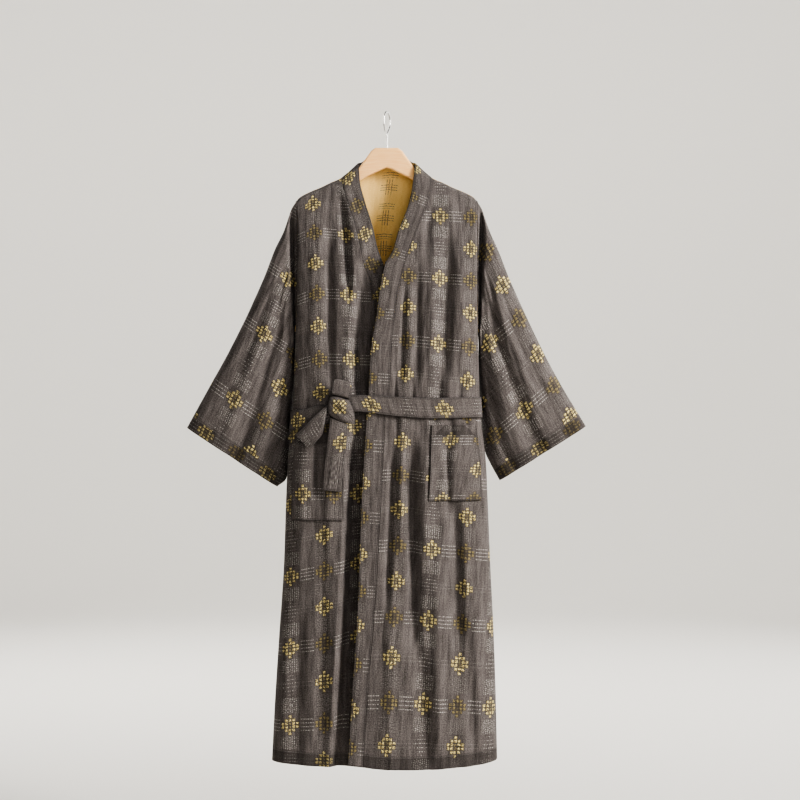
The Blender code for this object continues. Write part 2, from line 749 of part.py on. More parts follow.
def knot_cover():
    """Grid of the cloth that crosses over the knot, curling back at its edges."""
    top_left, top_right, bottom_right, bottom_left = [np.array(corner, dtype=float) for corner in KNOT_CORNERS]
    rows = []
    crease_place, crease_fall, crease_width, crease_depth = KNOT_CREASE
    for down in np.linspace(0.0, 1.0, KNOT_STEPS):
        row = []
        for across in np.linspace(0.0, 1.0, KNOT_STEPS):
            side = (across - 0.5) * (1.0 - KNOT_ROUND * (2 * down - 1) ** 2) + 0.5
            level = (down - 0.5) * (1.0 - KNOT_ROUND * (2 * across - 1) ** 2) + 0.5
            upper = top_left + (top_right - top_left) * side
            lower = bottom_left + (bottom_right - bottom_left) * side
            x, z = upper + (lower - upper) * level
            bulge = math.sqrt(math.sin(math.pi * across) * math.sin(math.pi * down))
            crease = math.exp(-(((down - across * crease_fall - crease_place) / crease_width) ** 2))
            crease = crease * math.sin(math.pi * across) * crease_depth
            row.append((x, KNOT_BACK_Y - KNOT_BULGE * bulge + crease, z))
        rows.append(row)
    return np.array(rows)


def tail(left_edge, right_edge):
    """Grid of a belt end that hangs from the knot, from its two edges: x, y, z."""
    left = np.array(left_edge, dtype=float)
    right = np.array(right_edge, dtype=float)
    rows = []
    places = np.linspace(0.0, 1.0, TAIL_ROWS)
    nodes_left = np.linspace(0.0, 1.0, len(left))
    nodes_right = np.linspace(0.0, 1.0, len(right))
    for place in places:
        a = np.array([follow(list(zip(nodes_left, left[:, axis])), 1, place) for axis in range(3)])
        b = np.array([follow(list(zip(nodes_right, right[:, axis])), 1, place) for axis in range(3)])
        row = []
        for across in np.linspace(0.0, 1.0, TAIL_COLUMNS):
            point = a + (b - a) * across
            point[1] -= TAIL_CURL * math.sin(math.pi * across) * (1.0 - TAIL_FLATTEN * place)
            row.append(point)
        rows.append(row)
    return np.array(rows)


def upper_loop():
    """Grid of the small loop that stands above the knot, folded over at its top."""
    rows = []
    for turn in np.linspace(0.0, 1.0, LOOP_TURNS):
        angle = math.pi * turn
        y = LOOP_MIDDLE_Y - LOOP_HALF_DEPTH * math.cos(angle)
        row = []
        for across in np.linspace(0.0, 1.0, LOOP_COLUMNS):
            rise = math.sin(angle) ** LOOP_RISE_POWER * (1.0 - LOOP_ROUND * (2 * across - 1) ** LOOP_ROUND_POWER)
            foot_x, foot_z = [a + (b - a) * across for a, b in zip(*LOOP_FOOT)]
            top_x, top_z = [a + (b - a) * across for a, b in zip(*LOOP_TOP)]
            row.append((foot_x + (top_x - foot_x) * rise, y, foot_z + (top_z - foot_z) * rise))
        rows.append(row)
    return np.array(rows)


def material(name, colour, roughness, metallic=0.0):
    """A plain surface with the sub-part's colour."""
    made = bpy.data.materials.new(name)
    made.use_nodes = True
    shader = made.node_tree.nodes["Principled BSDF"]
    shader.inputs["Base Color"].default_value = (*colour, 1.0)
    shader.inputs["Roughness"].default_value = roughness
    shader.inputs["Metallic"].default_value = metallic
    return made


def cloth_sheet(name, grid, wall, surface, facing, collection):
    """A wall of cloth over a grid of points, thickened away from the side that it faces."""
    rows, columns = grid.shape[:2]
    mesh_builder = bmesh.new()
    bmesh.ops.create_grid(mesh_builder, x_segments=columns - 1, y_segments=rows - 1, size=1.0)
    for vertex in mesh_builder.verts:
        column = round((vertex.co.x + 1.0) / 2.0 * (columns - 1))
        row = round((vertex.co.y + 1.0) / 2.0 * (rows - 1))
        vertex.co = grid[row, column] * MM
    mesh_builder.normal_update()
    middle = grid[rows // 2, columns // 2] * MM
    nearest = min(mesh_builder.faces, key=lambda face: (face.calc_center_median() - Vector(middle)).length)
    if nearest.normal.dot(Vector(facing)) < 0:
        bmesh.ops.reverse_faces(mesh_builder, faces=mesh_builder.faces[:])
    mesh = bpy.data.meshes.new(name)
    mesh_builder.to_mesh(mesh)
    mesh_builder.free()
    mesh.materials.append(surface)
    mesh.shade_smooth()
    made = bpy.data.objects.new(name, mesh)
    collection.objects.link(made)
    thick = made.modifiers.new("wall", "SOLIDIFY")
    thick.thickness = wall * MM
    thick.offset = -1.0
    return made


def hanger_board(surface, collection):
    """The wooden board: an extruded outline with rounded edges and a bore for the hook."""
    place = HANGER_OUTLINE.index("shoulder")
    carried = [(x, float(follow(SHOULDER, 1, x)) - HANGER_BELOW) for x in HANGER_UNDER_CLOTH]
    right = list(HANGER_OUTLINE[:place]) + carried + list(HANGER_OUTLINE[place + 1:])
    left = [(-x, z) for x, z in reversed(right[1:-1])]
    builder = bmesh.new()
    ring = [builder.verts.new((x * MM, -HANGER_THICK / 2 * MM, z * MM)) for x, z in right + left]
    front = builder.faces.new(ring)
    grown = bmesh.ops.extrude_face_region(builder, geom=[front])
    moved = [item for item in grown["geom"] if isinstance(item, bmesh.types.BMVert)]
    bmesh.ops.translate(builder, verts=moved, vec=(0.0, HANGER_THICK * MM, 0.0))
    bmesh.ops.recalc_face_normals(builder, faces=builder.faces[:])
    mesh = bpy.data.meshes.new("hanger_board")
    builder.to_mesh(mesh)
    builder.free()
    mesh.materials.append(surface)
    board = bpy.data.objects.new("hanger_board", mesh)
    collection.objects.link(board)
    edge = board.modifiers.new("rounded edges", "BEVEL")
    edge.width = HANGER_ROUND * MM
    edge.segments = HANGER_EDGE_STEPS
    edge.limit_method = "ANGLE"
    edge.angle_limit = HANGER_EDGE_ANGLE
    return board


def bore_cutter(collection):
    """The cutter of the hook's bore, open at the board's top."""
    top = HANGER_OUTLINE[0][1] + BORE_ABOVE
    depth = BORE_DEPTH + BORE_ABOVE
    builder = bmesh.new()
    bmesh.ops.create_cone(builder, cap_ends=True, segments=BORE_SIDES, radius1=BORE_RADIUS * MM,
                          radius2=BORE_RADIUS * MM, depth=depth * MM)
    mesh = bpy.data.meshes.new("hook_bore")
    builder.to_mesh(mesh)
    builder.free()
    cutter = bpy.data.objects.new("hook_bore", mesh)
    cutter.location = (STEM_X * MM, 0.0, (top - depth / 2) * MM)
    cutter.hide_render = True
    cutter.display_type = "WIRE"
    collection.objects.link(cutter)
    return cutter


def hook_wire(surface, collection):
    """The steel hook: a wire from its seat in the board, over the hang point, to its tip."""
    rows = [(i, out, z) for i, (out, z) in enumerate(HOOK_ROUTE)]
    places = np.concatenate([np.array([0.0, 1.0]), np.linspace(2.0, len(rows) - 1.0, HOOK_STEPS)])
    out = follow(rows, 1, places)
    height = follow(rows, 2, places)
    curve = bpy.data.curves.new("hanger_hook", "CURVE")
    curve.dimensions = "3D"
    curve.bevel_depth = WIRE_RADIUS * MM
    curve.bevel_resolution = 2
    curve.use_fill_caps = True
    spline = curve.splines.new("POLY")
    spline.points.add(len(places) - 1)
    for point, side, z in zip(spline.points, out, height):
        x = STEM_X - side * math.sin(HOOK_TURN)
        y = -side * math.cos(HOOK_TURN)
        point.co = (x * MM, y * MM, z * MM, 1.0)
    curve.materials.append(surface)
    hook = bpy.data.objects.new("hanger_hook", curve)
    collection.objects.link(hook)
    return hook


def clear_scene():
    """Take every object out of the start scene."""
    for existing in list(bpy.data.objects):
        bpy.data.objects.remove(existing, do_unlink=True)


def main():
    """Make every sub-part and put it into the robe's collection."""
    clear_scene()
    robe = bpy.data.collections.new("robe_on_hanger")
    cutters = bpy.data.collections.new("cutters")
    bpy.context.scene.collection.children.link(robe)
    bpy.context.scene.collection.children.link(cutters)
    cloth = material("grey_brown_cotton", CLOTH_COLOUR, CLOTH_ROUGHNESS)
    over = front_panel(OVER_BAND, OVER_HEM, 1.0, over_front_y, OVER_COLUMNS)
    under = front_panel(UNDER_BAND, UNDER_HEM, -1.0, under_front_y, UNDER_COLUMNS)
    back = back_panel()
    cloth_sheet("front_left_over", over, CLOTH_WALL, cloth, (0, -1, 0), robe)
    cloth_sheet("front_right_under", under, CLOTH_WALL, cloth, (0, -1, 0), robe)
    cloth_sheet("back", back, CLOTH_WALL, cloth, (0, 1, 0), robe)
    cloth_sheet("collar_band", collar_band(over, under, back), BAND_WALL, cloth, (0, 1, 0), robe)
    cloth_sheet("sleeve_left", sleeve("right", over, back), CLOTH_WALL, cloth, (1, 0, 0), robe)
    cloth_sheet("sleeve_right", sleeve("left", under, back), CLOTH_WALL, cloth, (-1, 0, 0), robe)
    left_pocket = patch_pocket(1.0, over_front_y, OVER_POCKET, POCKET_ROWS, POCKET_COLUMNS)
    right_pocket = patch_pocket(-1.0, under_front_y, UNDER_POCKET, POCKET_ROWS, POCKET_COLUMNS)
    cloth_sheet("pocket_left", left_pocket, CLOTH_WALL, cloth, (0, -1, 0), robe)
    cloth_sheet("pocket_right", right_pocket, CLOTH_WALL, cloth, (0, -1, 0), robe)
    cloth_sheet("belt_wrap", belt_wrap(), BELT_WALL, cloth, (0, 1, 0), robe)
    cloth_sheet("belt_knot", knot_cover(), BELT_WALL, cloth, (0, -1, 0), robe)
    cloth_sheet("belt_loop", upper_loop(), LOOP_WALL, cloth, (0, 0, 1), robe)
    long_tail = tail(LONG_TAIL_LEFT, LONG_TAIL_RIGHT)
    short_tail = tail(SHORT_TAIL_UPPER, SHORT_TAIL_LOWER)
    cloth_sheet("belt_tail_long", long_tail, BELT_WALL, cloth, (0, -1, 0), robe)
    cloth_sheet("belt_tail_short", short_tail, BELT_WALL, cloth, (0, -1, 0), robe)
    wood = material("pale_wood", WOOD_COLOUR, WOOD_ROUGHNESS)
    steel = material("steel_wire", STEEL_COLOUR, STEEL_ROUGHNESS, 1.0)
    board = hanger_board(wood, robe)
    bore = board.modifiers.new("hook bore", "BOOLEAN")
    bore.operation = "DIFFERENCE"
    bore.object = bore_cutter(cutters)
    hook_wire(steel, robe)


main()
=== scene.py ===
"""A woven cotton wrap robe with a tied belt, hanging on a wooden hanger with a steel hook.

The tables and functions of the cloth's form are the part's own, with closer rows and columns, deeper
folds and small creases. Lengths are millimetres until a mesh is made.
"""
import math

import bpy
import numpy as np
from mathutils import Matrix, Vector


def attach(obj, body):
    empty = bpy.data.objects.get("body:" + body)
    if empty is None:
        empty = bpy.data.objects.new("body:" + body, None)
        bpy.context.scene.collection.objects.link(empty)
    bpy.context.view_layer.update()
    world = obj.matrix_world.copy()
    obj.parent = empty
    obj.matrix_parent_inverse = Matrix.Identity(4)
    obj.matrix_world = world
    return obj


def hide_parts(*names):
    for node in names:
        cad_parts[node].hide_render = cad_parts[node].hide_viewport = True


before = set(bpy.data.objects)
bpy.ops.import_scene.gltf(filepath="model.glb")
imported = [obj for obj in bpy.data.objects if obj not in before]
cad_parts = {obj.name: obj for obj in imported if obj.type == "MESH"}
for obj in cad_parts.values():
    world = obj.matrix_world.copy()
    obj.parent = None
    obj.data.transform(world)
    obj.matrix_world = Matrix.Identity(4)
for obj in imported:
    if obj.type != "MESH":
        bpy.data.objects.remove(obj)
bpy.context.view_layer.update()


def numbered(first, places):
    """Rows of a table: a place and its number, which counts up from the first."""
    return tuple((place, first + step) for step, place in enumerate(places))


# The woven repeat: steps between its columns and rows of motifs, size of a flower's cells, distance
# between the pale lines and between their dashes
COLUMN_STEP = 65.0
ROW_STEP = 70.0
BLOB_WIDE = 6.8
BLOB_HIGH = 6.4
LINE_PITCH = 6.8
DASH_PITCH = 4.4
# Column of motifs followed down each panel: height, x. Its number is 0
OVER_COLUMN = ((-150, 48), (-410, 45), (-690, 33), (-832, 26), (-980, 20), (-1138, 10), (-1355, -2))
UNDER_COLUMN = ((-150, -156), (-400, -144), (-590, -137), (-880, -129), (-1355, -129))
BACK_COLUMN = ((-150, 9), (-260, -5), (-330, -8), (-1355, -8))
# Rows of motifs by height, even rows bright on even columns
OVER_ROWS = numbered(-5, (
    -85, -153, -217, -281, -345, -410, -479, -548, -617, -689, -758, -829, -904, -977, -1050, -1133,
    -1226, -1314, -1405,
))
UNDER_ROWS = numbered(-1, (
    -128, -191, -252, -316, -380, -448, -517, -586, -658, -732, -806, -883, -957, -1031, -1107,
    -1185, -1272, -1348, -1420,
))
# Fall of the weft: height, slope towards the side, share of it towards the middle
OVER_DROOP = (
    (-150, 0.0, 0.2), (-280, 0.05, 0.2), (-420, 0.09, 0.2), (-600, 0.12, 0.2), (-1100, 0.12, 0.2),
    (-1355, 0.02, 0.2),
)
UNDER_DROOP = (
    (-150, 0.5, 0.2), (-400, 0.36, 0.2), (-600, 0.24, 0.0), (-800, 0.22, -0.5), (-950, 0.2, -1.0),
    (-1200, 0.14, -1.0), (-1355, 0.0, 1.0),
)
BACK_DROOP = ((-150, 0.12, 1.0), (-1355, 0.0, 1.0))
# By height, the share of their length across that counts: less of it, and the columns lie further apart
STEP_SHRINK = ((-150, 1.0), (-600, 1.0), (-720, 0.94), (-850, 0.915), (-1355, 0.915))
# Past this share of the half width the weave follows the cloth's own length round the side, up to this
# many times its width and this slack
NEAR_SIDE = 0.93
SIDE_STRETCH = 1.6
SIDE_SLACK = 1.5
# Sleeves: a motif's place, way of the warp, step of the columns, slant of the weft, rows along the warp
SLEEVE_WEAVE = {
    "left": ((-256, -464), (-0.41, -0.912), 76.0, 0.19,
             numbered(-3, (-248, -186, -124, -62, 0, 76, 151, 228, 305))),
    "right": ((216, -484), (0.46, -0.89), 80.0, -0.23,
              numbered(-2, (-231, -154, -77, 0, 85, 158, 232, 308))),
}
# The row step above and below a sleeve's listed rows, and the column of its listed motif
SLEEVE_ROW_ABOVE = 62.0
SLEEVE_ROW_BELOW = 77.0
SLEEVE_COLUMN = 1.0
# Turned hems: depth, row and shift of the repeat on the cuffs
CUFF_HEM = 27.0
CUFF_ROW = 5.0
CUFF_SHIFT = {"left": 0.35, "right": 0.1}
HEM_FOLD = 26.0
# Collar band: height, row of the repeat at the free edge
OVER_BAND_ROWS = numbered(-11, (
    -60, -115, -175, -234, -295, -357, -422, -492, -557, -625, -697, -775, -846, -922, -998, -1069,
    -1149, -1243, -1321, -1400,
))
UNDER_BAND_ROWS = (*numbered(-3, (-75, -135, -196, -256, -319, -385, -455)), (-1375, 16))
UNDER_BAND_MIDDLE = 16.0
# Pockets and belt: x and height of one motif, its column and row, slant, steps across and down
POCKET_WEAVE = {
    "over": (133, -686, 1, 3, 0.137, 65.0, 62.0),
    "under": (-174, -798, 1, 1, 0.0, 65.0, 75.0),
}
POCKET_HEM = 24.0
STITCH_INSET = 3.0
BELT_COLUMN_STEP = 76.0
BELT_MOTIF_X = -30.7
BELT_MOTIF_SIDE = 2.0
KNOT_MOTIF = (-97, -617)
KNOT_TURN = math.radians(42)
LOOP_MOTIF = (30.0, 34.0)
LONG_TAIL_MOTIF = (-93, -691)
LONG_TAIL_SLANT = 0.1
LONG_TAIL_STEPS = (70.0, 75.0)
# Below this row the long tail's rows are drawn out by this share, so its lower part is plain
LONG_TAIL_PLAIN = 0.5
LONG_TAIL_STRETCH = 0.75
SHORT_TAIL_MOTIF = (45.0, 2.0)
SHORT_TAIL_SHIFT = (1.0, 0.0)
# Seam coordinates are kept in this many mm
SEAM_UNIT = 100.0
# Stitches: step and length of a dash, half width of the dip (a groove in the relief, painted shade in the
# colour) and of the thread, distances from an edge at which the painted shadow along it is 0 and 1
STITCH_STEP = 3.6
STITCH_DASH = (0.7, 0.6)
STITCH_DIP = (1.7, 0.3)
STITCH_THREAD = (0.75, 0.4)
STITCH_EDGE_SHADOW = (1.3, 0.4)

# Noise over the weave: cells across a column step, cells down a row step, detail
FLOWER_NOISE = (40.0, 40.0, 2.0)
WORN_NOISE = (26.0, 28.0, 2.0)
GAP_NOISE = (17.0, 66.0, 1.0)
GRAIN_NOISE = (42.0, 30.0, 1.0)
STREAK_NOISE = (46.0, 2.4, 3.0)
BROAD_SHADE_NOISE = (8.0, 1.3, 2.0)
HEATHER_NOISE = (38.0, 30.0, 3.0)
TINT_NOISE = (34.0, 36.0, 1.0)
RIB_NOISE = (12.0, 90.0, 1.0)
MARK_NOISE = (34.0, 34.0, 1.0)
SWAY_SHIFT = 9.0
WORN_SHIFT = 3.0
# Flower: how far its threads wander, how many cells it reaches, its half width and half height, how
# empty its middle is
FLOWER_WANDER = (4.5, 4.0)
FLOWER_CELLS = 2.5
FLOWER_HALF = (19.0, 22.0)
FLOWER_HOLE = 0.75
# Strength of the painted shade within a flower's reach
SHADOW_SHARE = 0.8
# Pale threads: share of a line between its dashes, strength of each kind
DASH_REST = 0.2
STRIPE_SHARE = 0.75
FAINT_SHARE = 0.16
GHOST_SHARE = 0.8
GHOST_LEAN = 0.8
# Speckled columns: step of the dots and of the lines, strength on even and more on odd columns
DOT_STEP = 3.3
WARP_STEP = 4.0
SPECKLE_SHARE = (0.22, 0.5)
PIT_SHARE = (0.3, 0.25)
# Edges of these marks: where each is 0, where it is 1
CELL_EDGE = (0.46, 0.2)
WORN_EDGE = (0.32, 0.52)
FREE_EDGE = (0.96, 1.04)
DASH_EDGE = (0.78, 0.4)
LINE_EDGE = (1.3, 0.3)
GAP_EDGE = (0.36, 0.58)
CROSS_EDGE = (22.0, 12.0)
GHOST_EDGE = (0.36, 0.52)
COLUMN_EDGE = (20.0, 12.0)
DOT_EDGE = (0.8, 0.35)
WARP_EDGE = (0.42, 0.15)
SPECKLE_EDGE = (0.42, 0.62)
PIT_EDGE = (0.5, 0.34)
TINT_EDGE = (0.36, 0.6)
# Crossed lines of the reverse: step, edge, half length and half width of each group, drop of the lower group
MARK_STEP = 5.4
MARK_EDGE = (1.2, 0.5)
MARK_GAP_EDGE = (0.36, 0.5)
BAR_HALF = (8.0, 17.0)
BEAM_HALF = (18.0, 8.0)
LOW_BEAM_HALF = (17.0, 6.5)
LOW_BEAM_DROP = 28.0
DOTTED_EDGE = (1.1, 0.5)
DOTTED_GRAIN = (0.5, 0.62)
DOTTED_SHARE = 0.5
# Shares of streaks, broad shade, heather and ribs in the shade of each face, its middle, and in its relief
OUTER_SHADE = (0.3, 0.6, 1.0)
OUTER_MIDDLE = 0.44
INNER_SHADE = (0.4, 0.3, 0.5, 0.7)
INNER_MIDDLE = 0.5
OUTER_RELIEF = (0.5, 1.2, 0.5)
INNER_RELIEF = (0.5, 0.5, 0.4, 0.7)
RAISED_RELIEF = 0.4
DIP_RELIEF = 0.9
# How strongly each mark colours the cloth
# Strength of the columns' dark specks and of the painted shade in the flowers
SPECK_AND_SHADE_COLOUR = 0.7
DULL_COLOUR = 0.8
PALE_COLOUR = 0.85
GOLD_COLOUR = 0.95
# Strength of the painted shade in the stitch dips and of the painted shadow along edges
DIP_PAINTED_SHADE = 0.5
STITCH_COLOUR = 0.5
MARK_COLOUR = 0.85
# Relief of each surface: strength, distance in metres
OUTER_BUMP = (0.9, 0.0014)
INNER_BUMP = (0.6, 0.0008)
WOOD_BUMP = (0.15, 0.0004)
OUTER_FINISH = {"Roughness": 0.92, "Specular IOR Level": 0.2, "Sheen Weight": 0.06, "Sheen Roughness": 0.5}
INNER_FINISH = {"Roughness": 0.9, "Specular IOR Level": 0.25, "Sheen Weight": 0.1}
WOOD_FINISH = {"Roughness": 0.48, "Specular IOR Level": 0.3}
# Wood: how far its grain arches, cells a metre of bend, grain and clouds, strength of each
WOOD_ARCH = 1.6
WOOD_BEND = (9.0, 22.0, 0.5)
WOOD_GRAIN = (14.0, 620.0, 300.0, 4.0)
WOOD_CLOUDS = (30.0, 60.0, 90.0, 2.0)
WOOD_SHARES = (0.7, 0.3)
WOOD_EDGE = (0.3, 0.7)
# Steel: marks a metre, roughness at its smoothest, how much rougher the marks are
STEEL_MARKS = 900.0
STEEL_ROUGHNESS = 0.2
STEEL_WORN = 0.12

GROUND_DARK = (0.028, 0.0235, 0.022)
GROUND_LIGHT = (0.232, 0.206, 0.198)
GOLD_BRIGHT = (0.95, 0.82, 0.4)
GOLD_DEEP = (0.38, 0.27, 0.09)
DULL_GOLD = (0.33, 0.265, 0.12)
PALE_THREAD = (0.66, 0.63, 0.59)
MUSTARD_DARK = (0.74, 0.47, 0.15)
MUSTARD_LIGHT = (1.0, 0.74, 0.32)
GREY_MARK = (0.13, 0.1, 0.1)
WOOD_LIGHT = (1.0, 0.63, 0.3)
WOOD_DARK = (0.95, 0.54, 0.23)
STEEL_DARK = (0.42, 0.41, 0.4)
STEEL_LIGHT = (0.68, 0.67, 0.65)
FLOOR_COLOUR = (0.74, 0.72, 0.68)
SKY_COLOUR = (0.94, 0.97, 1.0)
SKY_STRENGTH = 0.06

CAMERA_LENS = 85.0
CAMERA_SENSOR = 36.0
CAMERA_AWAY = 3.97
CAMERA_X = 0.028
CAMERA_Z = -0.603
FLOOR_Z = -1.62
ROOM_RADIUS = 7.5
ROOM_CURVE = 2.5
ROOM_HEIGHT = 5.0
ROOM_CENTRE = 0.02
ROOM_STEPS = 16
ROOM_TURNS = 96
# Lights: name, place, aim, size, power, colour
LIGHTS = (
    ("key", (3.3, -1.9, 0.9), (0.0, 0.0, -0.6), (1.1, 1.6), 225.0, (1.0, 0.97, 0.93)),
    ("fill", (1.4, -4.5, 1.0), (0.0, 0.0, -0.5), (1.3, 1.3), 24.0, (0.98, 0.98, 1.0)),
    ("neck", (-0.5, -3.6, 1.1), (0.0, 0.0, -0.2), (0.5, 0.5), 7.0, (1.0, 0.98, 0.94)),
    ("wall", (0.0, 1.6, 2.4), (0.0, 7.0, 0.4), (3.2, 1.2), 250.0, (1.0, 0.99, 0.97)),
    ("top", (0.6, -0.2, 2.4), (0.0, 0.1, -0.6), (1.8, 1.4), 24.0, (1.0, 1.0, 1.0)),
    ("back", (-2.2, 3.2, 1.2), (0.0, 0.0, -0.6), (2.0, 2.2), 70.0, (1.0, 0.98, 0.95)),
    ("back_fill", (3.0, 3.0, 0.2), (0.0, 0.0, -0.6), (2.0, 2.2), 30.0, (0.97, 0.98, 1.0)),
)

MM = 0.001
SEAM_GAP = 0.3
NEAR_ZERO = 1e-4
CLOTH_WALL = 1.6
BAND_WALL = 3.0
BELT_WALL = 3.0
UNDERARM_Z = -465.0
BELT_Z = -628.0

# The body from its outline: height, left side edge, right side edge
SIDE_EDGE = (
    (-184, -188, 188),
    (-214, -187, 190),
    (-393, -188, 190),
    (-477, -192, 192),
    (-594, -196, 195),
    (-643, -199, 198),
    (-687, -203, 203),
    (-729, -207, 208),
    (-813, -211, 212),
    (-939, -215, 217),
    (-1107, -226, 225),
    (-1233, -234, 229),
    (-1375, -241, 232),
)
# Depth of the garment at its middle: height, front, back
BODY_DEPTH = (
    (-107, 15, 22),
    (-190, 19, 26),
    (-250, 29, 32),
    (-321, 41, 36),
    (-465, 50, 40),
    (-560, 52, 41),
    (-600, 52, 41),
    (-660, 53, 41),
    (-740, 58, 44),
    (-900, 64, 50),
    (-1130, 71, 58),
    (-1375, 80, 66),
)
# How the under front sinks behind the over front: height, depth, how far before the over front's
# free edge the step starts
UNDER_SINK = (
    (-190, 0, 70),
    (-250, 6, 66),
    (-321, 15, 62),
    (-400, 23, 57),
    (-465, 24, 52),
    (-560, 21, 45),
    (-600, 13, 43),
    (-650, 12, 41),
    (-740, 28, 40),
    (-900, 34, 40),
    (-1130, 34, 42),
    (-1375, 24, 42),
)
SINK_STEP = 24.0
SINK_GROWTH = 1.15
# Shoulder line, the same on both sides: distance from the middle, height
SHOULDER = (
    (59, -107),
    (90, -132),
    (98, -138),
    (119, -147),
    (135, -155),
    (161, -166),
    (182, -177),
    (190, -186),
)
# Neckline of the back: distance from the middle, height, depth
NECKLINE = (
    (0, -112, 25),
    (40, -119, 23),
    (70, -128, 17),
    (87, -131.8, 9),
    (94.5, -135.2, 0.25),
)
# Band of the over front: height, seam, free edge
OVER_BAND = (
    (-107, 91, 59),
    (-141, 93, 56),
    (-193, 84, 46),
    (-246, 64, 26),
    (-290, 47, 13),
    (-321, 37, -4),
    (-435, 15, -23),
    (-498, 9, -33),
    (-584, 5, -38),
    (-640, -3, -42),
    (-813, -12, -52),
    (-1033, -25, -60),
    (-1190, -38, -70),
    (-1375, -50, -81),
)
# Band of the under front: height, seam, free edge
UNDER_BAND = (
    (-107, -91, -59),
    (-145, -93, -56),
    (-189, -81, -45),
    (-233, -67, -31),
    (-288, -54, -18),
    (-321, -47, -6),
    (-355, -35, 4),
    (-435, -21, 18),
    (-640, -9, 30),
    (-813, -4, 36),
    (-1033, 0, 40),
    (-1375, 3, 43),
)
# How much higher the free edge of a band lies than its seam: seam height, rise
BAND_RISE = (
    (-133, 26),
    (-160, 20),
    (-200, 14),
    (-290, 11),
    (-340, 7),
    (-450, 3),
    (-1300, 2),
    (-1375, 4),
)
BAND_SHARES = tuple(np.linspace(0.0, 1.0, 15))
BAND_GAP = 0.12
# Band behind the neck, from its middle to the shoulder: share, rise, width share, lean, start
NECK_BAND = (
    (0, 36, 0.94, 1.0, 0.5),
    (0.45, 30, 0.87, 0.92, 1.15),
    (0.75, 26, 0.76, 0.76, 1.7),
    (1, 28, 0.66, 0.62, 1.9),
)
NECK_LEAN = 0.82
# Share of the half neckline where the band's shoulder row takes over
NECK_END = 0.994
# Hems: distance from the middle, height
OVER_HEM = ((-80, -1353), (-24, -1363), (40, -1366), (91, -1366), (133, -1363), (186, -1359), (232, -1352))
UNDER_HEM = ((-241, -1354), (-182, -1358), (-87, -1362), (0, -1371), (43, -1374))
BACK_HEM = ((-241, -1354), (-120, -1365), (0, -1369), (130, -1369), (190, -1363), (232, -1352))

# Rows of every body panel: shares from the shoulder to the underarm, then levels below it
UPPER_SHARES = (0, 0.0004) + tuple(np.linspace(0.002, 1.0, 110) ** 1.35)
LOWER_LEVELS = tuple(np.linspace(-469, -1355, 240))
# Columns near a side, as shares of the half width
SIDE_SHARES = (0.94, 0.95, 0.959, 0.967, 0.974, 0.981, 0.987, 0.992, 0.996, 0.9986, 1.0)
FLAT_SHARE = 0.93
# Columns between the band seam and those near the side, and columns of half the back
OVER_COLUMNS = 110
UNDER_COLUMNS = 90
NECK_COLUMNS = 45
OUTER_COLUMNS = 46
HEM_Z = -1360.0
# A column's top is found by following its line this many times from this height
TOP_SEARCH_Z = -150.0
TOP_SEARCH_TURNS = 12

SHOULDER_RADIUS = 12.0
SHOULDER_FALL = 0.22
SECTION_POWER = 0.45
SIDE_SEAM_Y = 3.0
ARMHOLE_FRONT = 15.0
ARMHOLE_BACK = 14.0
ARMHOLE_ROUND = 40.0

# Folds: top x, top height, bottom x, bottom height, push towards the viewer, half width
OVER_FOLDS = (
    (90, -160, 80, -330, -3, 9),
    (134, -205, 119, -600, -11, 15),
    (100, -240, 92, -600, 4, 13),
    (66, -290, 64, -600, -6, 9),
    (38, -325, 29, -610, -6, 8),
    (160, -250, 158, -600, 3, 14),
    (15, -640, -2, -1080, -7, 9),
    (52, -640, 58, -1180, -15, 14),
    (34, -650, 30, -960, 4, 10),
    (80, -650, 84, -960, 5, 15),
    (122, -640, 130, -860, -7, 11),
    (138, -760, 152, -1180, -11, 16),
    (70, -1080, 84, -1400, -8, 16),
    (104, -900, 112, -1400, 6, 18),
    (10, -960, 4, -1400, 5, 16),
    (186, -960, 192, -1400, 5, 14),
    (176, -1150, 186, -1400, -6, 14),
)
UNDER_FOLDS = (
    (-95, -150, -75, -420, -11, 9),
    (-122, -190, -116, -600, -8, 12),
    (-150, -220, -152, -600, 4, 15),
    (-140, -640, -146, -830, -5, 16),
    (-118, -650, -120, -960, 4, 13),
    (-170, -660, -182, -1000, 4, 14),
    (-130, -900, -136, -1400, -5, 16),
    (-176, -1000, -190, -1400, -6, 17),
    (-100, -1000, -104, -1400, 5, 14),
    (-212, -1050, -216, -1400, 4, 12),
)
BACK_FOLDS = (
    (-98, -170, -60, -600, -6, 18),
    (96, -180, 70, -600, -7, 17),
    (10, -260, 4, -600, 5, 24),
    (-140, -250, -132, -600, 4, 18),
    (140, -250, 136, -600, 4, 18),
    (-120, -640, -142, -1400, -8, 20),
    (-40, -640, -48, -1400, -9, 22),
    (46, -640, 58, -1400, -10, 20),
    (128, -640, 150, -1400, -7, 20),
    (-84, -660, -96, -1400, 6, 18),
    (2, -660, 4, -1400, 7, 20),
    (90, -660, 104, -1400, 6, 18),
)
FOLD_AT_BELT = 0.1
# The folds are a little deeper and narrower here than on the solids
FOLD_GROWTH = 1.35
FOLD_SHARP = 0.85
FOLD_FADE = 0.3
BELT_REACH = 62.0
# Creases of the washed cloth come from noise: its lattice and spread, two seeds
NOISE_SIZE = 64
NOISE_SPREAD = 0.6
BROAD_SEED = 3
FINE_SEED = 4
# Creases of the body and of the sleeves, the fine ones last: height, width, length, place in the noise
BODY_CREASES = ((2.2, 34.0, 220.0, 0.0), (1.5, 15.0, 140.0, 17.0), (0.3, 6.5, 65.0, 0.0))
SLEEVE_CREASES = ((2.2, 38.0, 150.0, 5.0), (1.6, 15.0, 90.0, 29.0), (0.5, 7.0, 45.0, 0.0))
# A sleeve's place in the noise: distance between its two faces, length that stands for the whole sleeve
SLEEVE_FACE_SHIFT = 300.0
SLEEVE_NOISE_LENGTH = 500.0
